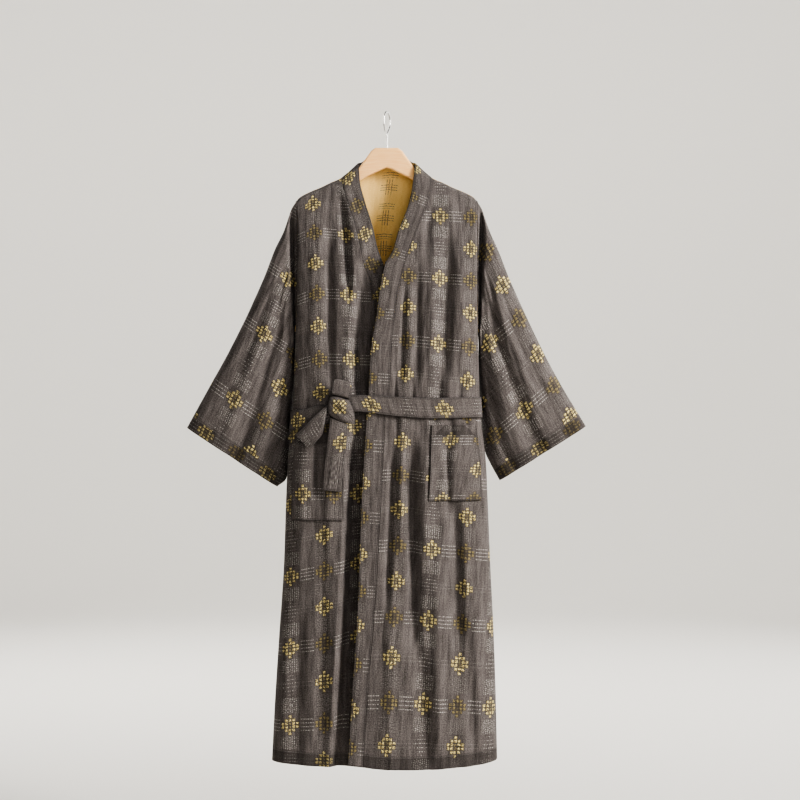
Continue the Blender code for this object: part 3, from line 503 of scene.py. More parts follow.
# Creases at the belt: x at the belt, x and height of the far end, push, half width
BELT_GATHERS = (
    (18, 14, -440, -8, 4.5),
    (38, 40, -500, 3, 7),
    (54, 57, -500, -5, 4),
    (110, 113, -450, -8, 8),
    (132, 134, -500, 3, 8),
    (152, 156, -500, -5, 6),
    (176, 176, -520, 3, 6),
    (2, -4, -800, -6, 4.5),
    (22, 20, -750, -5, 4),
    (36, 34, -760, 3, 6),
    (84, 86, -730, 3, 8),
    (134, 138, -730, -6, 5),
    (165, 170, -720, -5, 5),
    (-112, -118, -500, -6, 6),
    (-140, -140, -520, 3, 8),
    (-166, -164, -500, -5, 8),
    (-148, -152, -740, -6, 6),
    (-184, -190, -750, -5, 6),
)
# Share of its length over which a crease at the belt starts, and its width there and past it
GATHER_START = 0.12
GATHER_WIDTH = 0.8
GATHER_WIDENING = 0.9
SEAM_CALM = 20.0
SHOULDER_CALM = 60.0
BELT_CALM_POWER = 4
SIDE_CALM_POWER = 8

# Sleeves: outer edge and inner edge from the armhole to the cuff, distance from the middle, height
SLEEVE_OUTER = {
    "left": ((190, -186), (200, -202), (207, -222), (218, -252), (234, -284), (257, -343), (279, -393),
             (297, -432), (337, -511), (371, -572), (420, -661)),
    "right": ((190, -186), (200, -202), (207, -222), (218, -252), (233, -284), (256, -343), (278, -393),
              (296, -432), (334, -511), (366, -570), (419, -658)),
}
SLEEVE_INNER = {
    "left": ((190.7, -465), (193.4, -492), (193.8, -530), (194.8, -570), (197.2, -605), (201.8, -665),
             (205, -710), (208.5, -750), (213, -770), (231, -785)),
    "right": ((192.2, -465), (193.8, -492), (193.8, -530), (194.6, -570), (196.8, -605), (201, -655),
              (205, -700), (209, -715), (218, -735), (238, -772)),
}
# Rings along a sleeve and points across each face, as shares, closer at the ends
SLEEVE_RINGS = (
    *np.linspace(0.0, 0.1, 22),
    *np.linspace(0.11, 0.9, 90),
    *np.linspace(0.904, 1.0, 34),
)
SLEEVE_SHARES = (0, 0.0004, 0.002) + tuple(np.linspace(0.006, 0.985, 76)) + (0.99, 0.995, 1.0)
# The sleeve stands off the armhole seam, and its underarm seam is turned in by a lip
SLEEVE_LIP = 3.5
ARMHOLE_GAP = 0.2
SLEEVE_SEAM_LIP = 2.4
# Near the shoulder, down to a share across, the sleeve leaves the armhole this way
LIP_WAY = (0.8, 0.0, -0.6)
LIP_TOP = 0.1
# Share along the sleeve, middle of its depth, half depth
SLEEVE_DEPTH = (
    (0, 0, 14),
    (0.1, 3, 24),
    (0.3, 5, 28),
    (0.6, 6, 27),
    (1.0, 6, 20),
)
SLEEVE_EDGE_ROUND = 34.0
# How far the sleeve's inner edge hangs behind the side of the body: share along the sleeve, distance
SLEEVE_BEHIND = ((0, 0), (0.06, 4), (0.2, 24), (0.4, 32), (0.7, 26), (1.0, 8))
BEHIND_POWER = 4
# Valley beside the armhole seam: share along the sleeve, its reach, depth in front and behind
VALLEY_PLACE = 0.04
VALLEY_REACH = 0.026
VALLEY_START = 0.025
VALLEY_TOP = 0.1
VALLEY_BOTTOM = 0.15
VALLEY_DEPTH = {-1.0: 15.0, 1.0: 6.0}
SLEEVE_LEAVE = 0.12
# Sleeve folds: share across at the armhole end, share across at the cuff, from, to, push, half width
SLEEVE_FOLDS = (
    (0.30, 0.34, 0.10, 1.2, 5, 0.08),
    (0.46, 0.50, 0.12, 1.2, -7, 0.07),
    (0.64, 0.68, 0.18, 1.2, 5, 0.08),
    (0.80, 0.82, 0.30, 1.2, -5, 0.07),
)

# How far a pocket's face lies over its front, and the step over which the front's slope is measured
POCKET_RISE = 3.6
POCKET_ROWS = 100
POCKET_COLUMNS = 74
SLOPE_STEP = 0.5
# Pockets: top, bottom, inner edge at the top and at the bottom, outer edge as a share of the half width
OVER_POCKET = (-655, -812, 93, 86, 0.93)
UNDER_POCKET = (-672, -853, -88, -91, 0.93)

# Belt in front and behind: x, height of its middle, width
BELT_FRONT = (
    (-205, -646, 42),
    (-182, -645, 42),
    (-147, -637, 42),
    (-120, -632, 40),
    (-78, -610, 34),
    (-56, -610, 35),
    (13, -616, 40),
    (94, -620, 43),
    (203, -618, 43),
)
BELT_BACK = ((-205, -646, 42), (-100, -642, 42), (0, -634, 42), (100, -624, 42), (203, -618, 43))
BELT_STAND = 7.0
BELT_SIDE_STAND = 3.75
BELT_SIDE_POWER = 6
BELT_ENDS = (-116, -84)
BELT_STEPS = 320
BELT_SHARES = tuple(np.linspace(0.0, 1.0, 17))
BELT_ANGLE_POWER = 0.8

# Knot: corners of the crossing cloth in x and z, how round they are, how far it bulges
KNOT_CORNERS = ((-119, -590), (-74, -601), (-60, -660), (-124, -636))
KNOT_ROUND = 0.16
KNOT_BACK_Y = -60.0
KNOT_BULGE = 14.0
# Crease over the knot: share down at its left edge, fall to the right, width, depth
KNOT_CREASE = (0.45, 0.35, 0.14, 4.0)
KNOT_STEPS = 45
# Small loop above the knot: ends of its foot and of its top in x and z, how round its top is
LOOP_FOOT = ((-113, -591), (-76, -600))
LOOP_TOP = ((-112, -556), (-70, -568))
LOOP_ROUND = 0.3
LOOP_ROUND_POWER = 4
LOOP_RISE_POWER = 0.6
LOOP_WALL = 2.4
LOOP_TURNS = 45
LOOP_COLUMNS = 21
LOOP_MIDDLE_Y = -62.4
LOOP_HALF_DEPTH = 5.0
TAIL_ROWS = 70
TAIL_COLUMNS = 17
TAIL_CURL = 3.0
# Share of the curl that is gone at a tail's end
TAIL_FLATTEN = 0.6
LONG_TAIL_LEFT = ((-117, -59.9, -639.2), (-123, -63, -690), (-129, -64, -741), (-132, -65, -790))
LONG_TAIL_RIGHT = ((-80, -59.9, -653.1), (-84, -64, -700), (-90, -66, -750), (-94, -66, -794))
SHORT_TAIL_UPPER = ((-122.3, -59.9, -613), (-150, -61, -637), (-174, -58, -661), (-190, -54, -675))
SHORT_TAIL_LOWER = ((-124.9, -59.9, -637), (-132, -64, -672), (-146, -64, -690), (-160, -61, -705))


def smooth(share):
    """Ease from 0 to 1."""
    share = np.clip(share, 0.0, 1.0)
    return share * share * (3.0 - 2.0 * share)


def follow(table, column, at):
    """One column of a table at a place in its first column, on a curve without overshoot."""
    rows = np.array(sorted(table), dtype=float)
    places = rows[:, 0]
    values = rows[:, column]
    at = np.clip(np.asarray(at, dtype=float), places[0], places[-1])
    steps = np.diff(places)
    slopes = np.diff(values) / steps
    tangents = np.zeros_like(values)
    tangents[0] = slopes[0]
    tangents[-1] = slopes[-1]
    same_way = slopes[:-1] * slopes[1:] > 0
    total = np.where(same_way, slopes[:-1] + slopes[1:], 1.0)
    tangents[1:-1] = np.where(same_way, 2.0 * slopes[:-1] * slopes[1:] / total, 0.0)
    row = np.clip(np.searchsorted(places, at, side="right") - 1, 0, len(steps) - 1)
    step = steps[row]
    t = (at - places[row]) / step
    return (
        values[row] * (1 + 2 * t) * (1 - t) ** 2
        + values[row + 1] * t * t * (3 - 2 * t)
        + step * t * (1 - t) * ((1 - t) * tangents[row] - t * tangents[row + 1])
    )


def soft_min(a, b, softness=1.2):
    """The smaller of two lengths, rounded where they meet."""
    low = np.minimum(a, b)
    return low - softness * np.log1p(np.exp(-np.abs(a - b) / softness))


def half_width(x, z):
    """Distance from the middle to the side edge on the side where x lies."""
    return np.where(x < 0, -follow(SIDE_EDGE, 1, z), follow(SIDE_EDGE, 2, z))


def armhole_half(z, depth):
    """Half the depth of the armhole's loop at a height, round at the underarm."""
    share = np.clip((z - UNDERARM_Z) / ARMHOLE_ROUND, 0.0, 1.0)
    return depth * np.sqrt(share * (2.0 - share))


def over_shoulder(drop):
    """How far cloth stands out at a distance below the shoulder line."""
    drop = np.maximum(drop, 0.0)
    bend = np.minimum(drop, SHOULDER_RADIUS)
    return np.sqrt(bend * (2 * SHOULDER_RADIUS - bend)) + SHOULDER_FALL * (drop - bend)


def value_noise(seed):
    """A smooth repeating noise of x and z, from seeded random numbers on a lattice."""
    lattice = np.random.default_rng(seed).normal(size=(NOISE_SIZE, NOISE_SIZE)) * NOISE_SPREAD

    def sample(x, z):
        """The noise at x and z, eased between the lattice's numbers."""
        column = np.floor(x).astype(int)
        row = np.floor(z).astype(int)
        across = smooth(x - column)
        down = smooth(z - row)
        near = lattice[row % NOISE_SIZE, column % NOISE_SIZE] * (1 - across)
        near = near + lattice[row % NOISE_SIZE, (column + 1) % NOISE_SIZE] * across
        far = lattice[(row + 1) % NOISE_SIZE, column % NOISE_SIZE] * (1 - across)
        far = far + lattice[(row + 1) % NOISE_SIZE, (column + 1) % NOISE_SIZE] * across
        return near * (1 - down) + far * down

    return sample


BROAD_NOISE = value_noise(BROAD_SEED)
FINE_NOISE = value_noise(FINE_SEED)


def creases(table, x, z):
    """Small uneven creases of the washed cloth, long in the direction in which it hangs."""
    push = 0.0
    for (height, width, length, shift), sample in zip(table, (BROAD_NOISE, BROAD_NOISE, FINE_NOISE)):
        push = push + height * sample(x / width + shift, z / length)
    return push


def gathers(x, z):
    """Short creases where the belt draws the cloth in."""
    middle = follow(BELT_FRONT, 1, x)
    push = np.zeros_like(x)
    for near_x, far_x, far_z, depth, width in BELT_GATHERS:
        share = np.clip((z - middle) / (far_z - middle), 0.0, 1.0)
        same_side = ((far_z - BELT_Z) * (z - middle) > 0) * 1.0
        centre = near_x + (far_x - near_x) * share
        spread = width * (GATHER_WIDTH + GATHER_WIDENING * share)
        fade = same_side * depth * smooth(share / GATHER_START) * smooth(1.0 - share)
        push = push + fade * np.exp(-(((x - centre) / spread) ** 2))
    return push


def folds(table, x, z):
    """Push of all folds of one panel at x and z, calm at the belt, the sides and the shoulder."""
    x, z = np.broadcast_arrays(np.asarray(x, dtype=float), np.asarray(z, dtype=float))
    push = np.zeros_like(x)
    for top_x, top_z, bottom_x, bottom_z, depth, width in table:
        along = (top_z - z) / (top_z - bottom_z)
        centre = top_x + (bottom_x - top_x) * along
        fade = smooth(along / FOLD_FADE) * smooth((1.0 - along) / FOLD_FADE)
        push = push + FOLD_GROWTH * depth * fade * np.exp(-(((x - centre) / (width * FOLD_SHARP)) ** 2))
    belt = 1.0 - (1.0 - FOLD_AT_BELT) * np.exp(-(((z - BELT_Z) / BELT_REACH) ** BELT_CALM_POWER))
    side = 1.0 - np.clip(np.abs(x) / half_width(x, z), 0.0, 1.0) ** SIDE_CALM_POWER
    push = push * belt + creases(BODY_CREASES, x, z) + gathers(x, z)
    return push * side * smooth((follow(SHOULDER, 1, np.abs(x)) - z) / SHOULDER_CALM)


def section(x, z, middle, edge):
    """Depth of a body section at x, flat over the middle and steep at the side."""
    share = np.clip(np.abs(x) / half_width(x, z), 0.0, 1.0)
    return edge + (middle - edge) * (1.0 - share ** 2) ** (SECTION_POWER / 2)


def front_y(x, z):
    """Smooth front of the garment without its folds."""
    edge = armhole_half(z, ARMHOLE_FRONT) - SIDE_SEAM_Y
    hanging = section(x, z, follow(BODY_DEPTH, 1, z), edge)
    return -soft_min(hanging, over_shoulder(follow(SHOULDER, 1, np.abs(x)) - z))


def seam_calm(x, z, band):
    """Folds fade to nothing at the band's seam, so both sides of it lie alike."""
    return smooth(np.abs(x - follow(band, 1, z)) / SEAM_CALM)


def over_front_y(x, z):
    """Outer face of the over front and of its band."""
    return front_y(x, z) - folds(OVER_FOLDS, x, z) * seam_calm(x, z, OVER_BAND)


def under_front_y(x, z):
    """The under front sinks back as it goes below the over front."""
    start = follow(OVER_BAND, 2, z) - follow(UNDER_SINK, 2, z)
    sink = SINK_GROWTH * follow(UNDER_SINK, 1, z) * smooth((x - start) / SINK_STEP)
    return front_y(x, z) + sink - folds(UNDER_FOLDS, x, z) * seam_calm(x, z, UNDER_BAND)


def back_y(x, z):
    """Back of the garment, starting from the neckline's own depth."""
    edge = armhole_half(z, ARMHOLE_BACK) + SIDE_SEAM_Y
    hanging = section(x, z, follow(BODY_DEPTH, 2, z), edge)
    neck = follow(NECKLINE, 2, np.abs(x))
    shoulder = over_shoulder(follow(SHOULDER, 1, np.abs(x)) - z)
    falling = np.where(np.abs(x) < NECKLINE[-1][0], np.sqrt(neck ** 2 + shoulder ** 2), shoulder)
    return soft_min(hanging, falling) + folds(BACK_FOLDS, x, z)


def row_heights(top, hem):
    """Heights of a panel's rows in one column, from its top to its hem."""
    upper = [top + (UNDERARM_Z - top) * share for share in UPPER_SHARES]
    reach = (hem - UNDERARM_Z) / (LOWER_LEVELS[-1] - UNDERARM_Z)
    lower = [UNDERARM_Z + (level - UNDERARM_Z) * reach for level in LOWER_LEVELS]
    return np.array(upper + lower)


def side_columns(count):
    """Shares across a front, from its band seam to its side seam, closer at the side."""
    return [(i / (count - 1), None) for i in range(count)] + [(1.0, share) for share in SIDE_SHARES]


def panel_top(line_at):
    """Height at which a column meets the shoulder line, found by following the line."""
    top = np.array(TOP_SEARCH_Z)
    for _ in range(TOP_SEARCH_TURNS):
        top = line_at(top)
    return float(top)


def front_panel(band, hem, side, surface, flat_columns):
    """Grid of a front: columns run from the band seam to the side seam."""
    columns = []
    for across, share in side_columns(flat_columns):
        def place(z):
            """x of this column at a height."""
            seam = follow(band, 1, z) + side * SEAM_GAP / 2
            edge = half_width(np.full_like(seam, float(side)), z)
            first = side * seam / edge
            ratio = share if share is not None else first + (FLAT_SHARE - first) * across
            return side * edge * ratio

        top = panel_top(lambda z: follow(SHOULDER, 1, np.abs(place(z))))
        z = row_heights(top, float(follow(hem, 1, place(np.array(HEM_Z)))))
        x = place(z)
        y = surface(x, z)
        y[0] = -SEAM_GAP / 2
        columns.append(np.stack([x, y, z], axis=-1))
    grid = np.stack(columns, axis=1)
    below = grid[:, -1, 2] <= UNDERARM_Z
    grid[below, -1, 1] = SIDE_SEAM_Y - SEAM_GAP / 2
    return grid


def back_ratios():
    """Columns of the back as shares of the half width, with a column at each end of the neckline."""
    neck = float(NECKLINE[-1][0] / follow(SIDE_EDGE, 2, NECKLINE[-1][1]))
    middle = list(np.linspace(0.0, neck, NECK_COLUMNS))
    outer = list(np.linspace(neck, FLAT_SHARE, OUTER_COLUMNS))[1:] + list(SIDE_SHARES)
    right = middle + outer
    return [-ratio for ratio in reversed(right[1:])] + right


def back_panel():
    """Grid of the back, from the left side seam to the right side seam."""
    columns = []
    neck_end = NECKLINE[-1][0] / follow(SIDE_EDGE, 2, NECKLINE[-1][1])
    for ratio in back_ratios():
        side = 1.0 if ratio >= 0 else -1.0
        at_neck = abs(ratio) < neck_end - NEAR_ZERO
        line = NECKLINE if at_neck else SHOULDER
        top = panel_top(lambda z: follow(line, 1, np.abs(ratio * half_width(np.array(side), z))))
        x_hem = ratio * half_width(np.array(side), np.array(HEM_Z))
        z = row_heights(top, float(follow(BACK_HEM, 1, x_hem)))
        x = ratio * half_width(np.full_like(z, side), z)
        y = back_y(x, z)
        if not at_neck:
            y[0] = SEAM_GAP / 2
        columns.append(np.stack([x, y, z], axis=-1))
    grid = np.stack(columns, axis=1)
    for edge in (0, -1):
        below = grid[:, edge, 2] <= UNDERARM_Z
        grid[below, edge, 1] = SIDE_SEAM_Y + SEAM_GAP / 2
    return grid


def band_rows(panel, band, side, surface):
    """Rows of the collar band along one front, from its hem up to the shoulder."""
    rows = []
    for x_seam, _, z_seam in panel[::-1, 0]:
        rise = follow(BAND_RISE, 1, z_seam)
        z_free = float(z_seam + rise)
        x_free = float(follow(band, 2, z_free))
        x_start = x_seam - side * BAND_GAP
        row = []
        for across in BAND_SHARES:
            x = np.array(x_start + (x_free - x_start) * across)
            z = np.array(z_seam + (z_free - z_seam) * across)
            row.append((float(x), float(surface(x, z)), float(z)))
        rows.append(row)
    rows[-1] = [(x, 0.0, z) for x, _, z in rows[-1]]
    return rows


def neck_rows(back):
    """Rows of the collar band behind the neck, from the right shoulder to the left one."""
    rows = []
    for x, y, z in back[0, ::-1]:
        share = abs(x) / NECKLINE[-1][0]
        if share > NECK_END:
            continue
        rise, narrow, lean, gap = [float(follow(NECK_BAND, column, share)) for column in (1, 2, 3, 4)]
        free = np.array([x * narrow, y * NECK_LEAN * lean, z + rise])
        seam = np.array([x, y, z])
        start = seam + (free - seam) * gap / np.linalg.norm(free - seam)
        rows.append([start + (free - start) * across for across in BAND_SHARES])
    return rows


def collar_band(over, under, back):
    """Grid of the whole collar band, hem to hem round the back neck."""
    right = band_rows(over, OVER_BAND, 1.0, over_front_y)
    left = band_rows(under, UNDER_BAND, -1.0, under_front_y)
    return np.array(right + neck_rows(back) + left[::-1])


def arc_points(points, shares):
    """Places along a broken line at shares of its length."""
    points = np.array(points, dtype=float)
    lengths = np.concatenate([[0.0], np.cumsum(np.linalg.norm(np.diff(points, axis=0), axis=1))])
    table_x = list(zip(lengths / lengths[-1], points[:, 0]))
    table_z = list(zip(lengths / lengths[-1], points[:, 1]))
    return np.stack([follow(table_x, 1, shares), follow(table_z, 1, shares)], axis=-1)


def sleeve_middle(t, share):
    """y of a sleeve's middle at a share across it. Its inner part hangs behind the body's side."""
    return follow(SLEEVE_DEPTH, 1, t) + follow(SLEEVE_BEHIND, 1, t) * share ** BEHIND_POWER


def sleeve_depth(t, share, length, face):
    """y of a sleeve's front or back face at a share across it."""
    middle = sleeve_middle(t, share)
    half = follow(SLEEVE_DEPTH, 2, t)
    near_edge = np.minimum(share, 1.0 - share) * length
    bend = np.minimum(near_edge, SLEEVE_EDGE_ROUND)
    swell = np.sqrt(bend * (2 * SLEEVE_EDGE_ROUND - bend)) / SLEEVE_EDGE_ROUND
    push = 0.0
    for start, end, first, last, depth, width in SLEEVE_FOLDS:
        centre = start + (end - start) * t
        along = (t - first) / (last - first)
        fade = smooth(along / FOLD_FADE) * smooth((1.0 - along) / FOLD_FADE)
        push = push + depth * fade * np.exp(-(((share - centre) / width) ** 2))
    across = share * length + SLEEVE_FACE_SHIFT * face
    push = push + creases(SLEEVE_CREASES, across, np.full_like(across, SLEEVE_NOISE_LENGTH * float(t)))
    return middle + face * (half * swell + push * swell)


def armhole_valley(across, front_points):
    """How far a sleeve's faces dip beside the armhole seam, by ring and by share across it."""
    along = np.array([0.0, 0.0] + list(SLEEVE_RINGS[1:]))[:, None]
    valley = np.exp(-(((along - VALLEY_PLACE) / VALLEY_REACH) ** 2)) * smooth(along / VALLEY_START)
    valley = valley * smooth(across / VALLEY_TOP) * smooth((1.0 - across) / VALLEY_BOTTOM)
    depth = np.where(np.arange(len(across)) < front_points, VALLEY_DEPTH[-1.0], -VALLEY_DEPTH[1.0])
    return valley * depth


def sleeve(side_name, front, back):
    """Grid of a sleeve: rings from the armhole to the cuff, each from underarm to underarm."""
    side = 1.0 if side_name == "right" else -1.0
    shares = np.array(SLEEVE_SHARES)
    outer = arc_points(SLEEVE_OUTER[side_name], SLEEVE_RINGS)
    inner = arc_points(SLEEVE_INNER[side_name], SLEEVE_RINGS)
    top_z = front[0, -1, 2]
    column = back[:, -1] if side > 0 else back[:, 0]
    arm_z = top_z + (UNDERARM_Z - top_z) * shares
    arm_x = np.abs(half_width(np.full_like(arm_z, side), arm_z)) + ARMHOLE_GAP
    rings = []
    for t, start, end in zip(SLEEVE_RINGS, outer, inner):
        length = float(np.hypot(*(end - start)))
        x = start[0] + (end[0] - start[0]) * shares
        z = start[1] + (end[1] - start[1]) * shares
        leave = smooth(t / SLEEVE_LEAVE)
        halves = []
        for face, panel in ((-1.0, front[:, -1]), (1.0, column)):
            tube = sleeve_depth(t, shares, length, face)
            arm = np.interp(-arm_z, -panel[:, 2], panel[:, 1])
            y = arm + (tube - arm) * leave
            y[-1] = SIDE_SEAM_Y + (sleeve_middle(t, 1.0) - SIDE_SEAM_Y) * leave + face * SEAM_GAP / 2
            half_x = x.copy()
            half_z = z.copy()
            if t == 0:
                half_x = arm_x
                half_z = arm_z.copy()
            half = np.stack([half_x, y, half_z], axis=-1)
            lip = half[-1].copy()
            half[-2] = lip
            half[-2, 1] = lip[1] + face * SLEEVE_SEAM_LIP
            halves.append(half)
        ring = np.concatenate([halves[0][::-1], halves[1][1:]])
        ring[len(shares) - 1, 1] = follow(SLEEVE_DEPTH, 1, t) * leave
        rings.append(ring)
    across = np.concatenate([shares[::-1], shares[1:]])
    towards = rings[1] - rings[0]
    along_shoulder = np.array(LIP_WAY)
    near_top = smooth(across / LIP_TOP)[:, None]
    towards = towards / np.linalg.norm(towards, axis=1)[:, None]
    towards = along_shoulder * (1.0 - near_top) + towards * near_top
    rings.insert(1, rings[0] + towards * SLEEVE_LIP)
    grid = np.array(rings)
    grid[:, :, 1] += armhole_valley(across, len(shares))
    grid[:, :, 0] *= side
    return grid


def patch_pocket(side, surface, corners, rows, columns):
    """Grid of a patch pocket laid on a front: the front's points, moved out along its normals."""
    top, bottom, inner_top, inner_bottom, outer_share = corners
    z = np.linspace(top, bottom, rows)[:, None] * np.ones((1, columns))
    share = np.linspace(0.0, 1.0, columns)[None, :]
    edge = half_width(np.full_like(z, side), z)
    inner = inner_top + (inner_bottom - inner_top) * (z - top) / (bottom - top)
    outer = side * edge * outer_share
    x = inner + (outer - inner) * share
    slope_x = (surface(x + SLOPE_STEP, z) - surface(x - SLOPE_STEP, z)) / (2 * SLOPE_STEP)
    slope_z = (surface(x, z + SLOPE_STEP) - surface(x, z - SLOPE_STEP)) / (2 * SLOPE_STEP)
    normal = np.stack([slope_x, -np.ones_like(x), slope_z], axis=-1)
    normal = normal / np.linalg.norm(normal, axis=-1)[..., None]
    return np.stack([x, surface(x, z), z], axis=-1) + normal * POCKET_RISE


def belt_point(angle, across):
    """Outer face of the belt at an angle round the body, from its top edge to its bottom one."""
    side = 1.0 if math.sin(angle) >= 0 else -1.0
    ratio = abs(math.sin(angle)) ** BELT_ANGLE_POWER
    front = math.cos(angle) > 0
    line = BELT_FRONT if front else BELT_BACK
    x = side * ratio * float(half_width(np.array(side), np.array(BELT_Z)))
    z = float(follow(line, 1, x) + follow(line, 2, x) * (0.5 - across))
    share = (1.0 - ratio ** 2) ** (SECTION_POWER / 2)
    middle = float(follow(BODY_DEPTH, 1 if front else 2, z))
    face = -1.0 if front else 1.0
    y = SIDE_SEAM_Y * (1 - share) + face * (middle + BELT_STAND) * share
    reach = float(half_width(np.array(side), np.array(z)))
    return side * (reach * ratio + BELT_SIDE_STAND * ratio ** BELT_SIDE_POWER), y, z


def belt_wrap():
    """Grid of the belt round the body, open behind the knot."""
    reach = -float(follow(SIDE_EDGE, 1, BELT_Z))
    start, stop = [math.asin((abs(end) / reach) ** (1 / BELT_ANGLE_POWER)) for end in BELT_ENDS]
    rows = []
    for step in range(BELT_STEPS + 1):
        angle = -start - (2 * math.pi - start + stop) * step / BELT_STEPS
        rows.append([belt_point(angle, across) for across in BELT_SHARES])
    return np.array(rows)


def knot_cover():
    """Grid of the cloth that crosses over the knot, curling back at its edges."""
    top_left, top_right, bottom_right, bottom_left = np.array(KNOT_CORNERS, dtype=float)
    place, fall, width, depth = KNOT_CREASE
    shares = np.linspace(0.0, 1.0, KNOT_STEPS)
    down, across = np.meshgrid(shares, shares, indexing="ij")
    side = ((across - 0.5) * (1.0 - KNOT_ROUND * (2 * down - 1) ** 2) + 0.5)[..., None]
    level = ((down - 0.5) * (1.0 - KNOT_ROUND * (2 * across - 1) ** 2) + 0.5)[..., None]
    upper = top_left + (top_right - top_left) * side
    lower = bottom_left + (bottom_right - bottom_left) * side
    flat = upper + (lower - upper) * level
    bulge = np.sqrt(np.sin(math.pi * across) * np.sin(math.pi * down))
    crease = np.exp(-(((down - across * fall - place) / width) ** 2)) * np.sin(math.pi * across) * depth
    return np.stack([flat[..., 0], KNOT_BACK_Y - KNOT_BULGE * bulge + crease, flat[..., 1]], axis=-1)


def tail(left_edge, right_edge):
    """Grid of a belt end that hangs from the knot, from its two edges: x, y, z."""
    places = np.linspace(0.0, 1.0, TAIL_ROWS)
    edges = []
    for edge in (left_edge, right_edge):
        knots = np.linspace(0.0, 1.0, len(edge))
        tables = [[(knot, point[axis]) for knot, point in zip(knots, edge)] for axis in range(3)]
        edges.append(np.stack([follow(table, 1, places) for table in tables], axis=-1)[:, None])
    across = np.linspace(0.0, 1.0, TAIL_COLUMNS)
    grid = edges[0] + (edges[1] - edges[0]) * across[:, None]
    grid[..., 1] -= TAIL_CURL * np.sin(math.pi * across) * (1.0 - TAIL_FLATTEN * places)[:, None]
    return grid


def upper_loop():
    """Grid of the small loop that stands above the knot, folded over at its top."""
    angle = math.pi * np.linspace(0.0, 1.0, LOOP_TURNS)[:, None]
    across = np.linspace(0.0, 1.0, LOOP_COLUMNS)
    rise = np.sin(angle) ** LOOP_RISE_POWER * (1.0 - LOOP_ROUND * (2 * across - 1) ** LOOP_ROUND_POWER)
    y = LOOP_MIDDLE_Y - LOOP_HALF_DEPTH * np.cos(angle) * np.ones_like(across)
    foot_x, foot_z = [a + (b - a) * across for a, b in zip(*LOOP_FOOT)]
    top_x, top_z = [a + (b - a) * across for a, b in zip(*LOOP_TOP)]
    return np.stack([foot_x + (top_x - foot_x) * rise, y, foot_z + (top_z - foot_z) * rise], axis=-1)


def panel_uv(grid, line, rows, droop, lean):
    """Weave coordinates of a body panel: columns and rows of the repeat.

    line gives x of a column of motifs by height, with the number of that column, rows the number
    of each row of motifs by height, and droop how far a weft line falls on each side of the line.
    """
    x, z = grid[..., 0], grid[..., 2]
    steps = np.linalg.norm(np.diff(grid, axis=1), axis=-1)
    flat = np.abs(np.diff(x, axis=1))
    near_side = np.abs(x[:, 1:]) > NEAR_SIDE * half_width(x[:, 1:], z[:, 1:])
    steps = np.where(near_side, np.minimum(steps, flat * SIDE_STRETCH + SIDE_SLACK), flat)
    travel = np.concatenate([np.zeros((len(grid), 1)), np.cumsum(steps, axis=1)], axis=1)
    mean_z = z.mean(axis=1)
    place = follow(line, 1, mean_z)
    forward = np.sign(x[0, -1] - x[0, 0])
    start = np.array([np.interp(at * forward, row * forward, way) for at, row, way in zip(place, x, travel)])
    start = start + np.minimum((place - x[:, 0]) * forward, 0.0)
    across = (travel - start[:, None]) * forward * follow(STEP_SHRINK, 1, mean_z)[:, None]
    slope = follow(droop, 1, z) * np.where(x * lean > place[:, None] * lean, 1.0, follow(droop, 2, z))
    level = z + slope * np.abs(x - place[:, None])
    high, low = rows[0][0], rows[-1][0]
    past_ends = np.maximum(low - level, 0.0) - np.maximum(level - high, 0.0)
    return np.stack([across / COLUMN_STEP, follow(rows, 1, level) + past_ends / ROW_STEP], axis=-1)


def distances(grid):
    """Length in mm from the first row, to the last row, from the first column and to the last one."""
    down = np.zeros(grid.shape[:2])
    down[1:] = np.cumsum(np.linalg.norm(np.diff(grid, axis=0), axis=-1), axis=0)
    across = np.zeros(grid.shape[:2])
    across[:, 1:] = np.cumsum(np.linalg.norm(np.diff(grid, axis=1), axis=-1), axis=1)
    return down, down[-1:] - down, across, across[:, -1:] - across


def seam_uv(lines):
    """Distance to the nearest of some stitched lines and length along it, in the seams' own unit."""
    away = np.stack([line[0] for line in lines])
    along = np.stack([line[1] for line in lines])
    nearest = np.abs(away).argmin(axis=0)[None]
    both = [np.take_along_axis(lengths, nearest, 0)[0] for lengths in (away, along)]
    return np.stack(both, axis=-1) / SEAM_UNIT


def strip_uv(grid, column, row, steps, turned):
    """Weave coordinates of a strip: the place of a motif on it, and the steps of the repeat."""
    down, _, across, rest = distances(grid)
    middle = (across - rest) / 2.0
    along = down - column
    side = middle - row
    if turned:
        return np.stack([along / steps[0], side / steps[1]], axis=-1)
    return np.stack([side / steps[0], along / steps[1]], axis=-1)


def place_uv(grid, motif, slant, steps, number):
    """Weave coordinates from x and height alone, with columns that slant."""
    x = grid[..., 0] - motif[0]
    z = grid[..., 2] - motif[1]
    return np.stack([(x - z * slant) / steps[0] + number[0], -z / steps[1] + number[1]], axis=-1)


def turned_uv(grid, motif, angle):
    """Weave coordinates of a flat piece whose warp runs down at an angle to the right."""
    x = grid[..., 0] - motif[0]
    z = grid[..., 2] - motif[1]
    along = x * math.sin(angle) - z * math.cos(angle)
    across = x * math.cos(angle) + z * math.sin(angle)
    return np.stack([across / COLUMN_STEP, along / ROW_STEP], axis=-1)


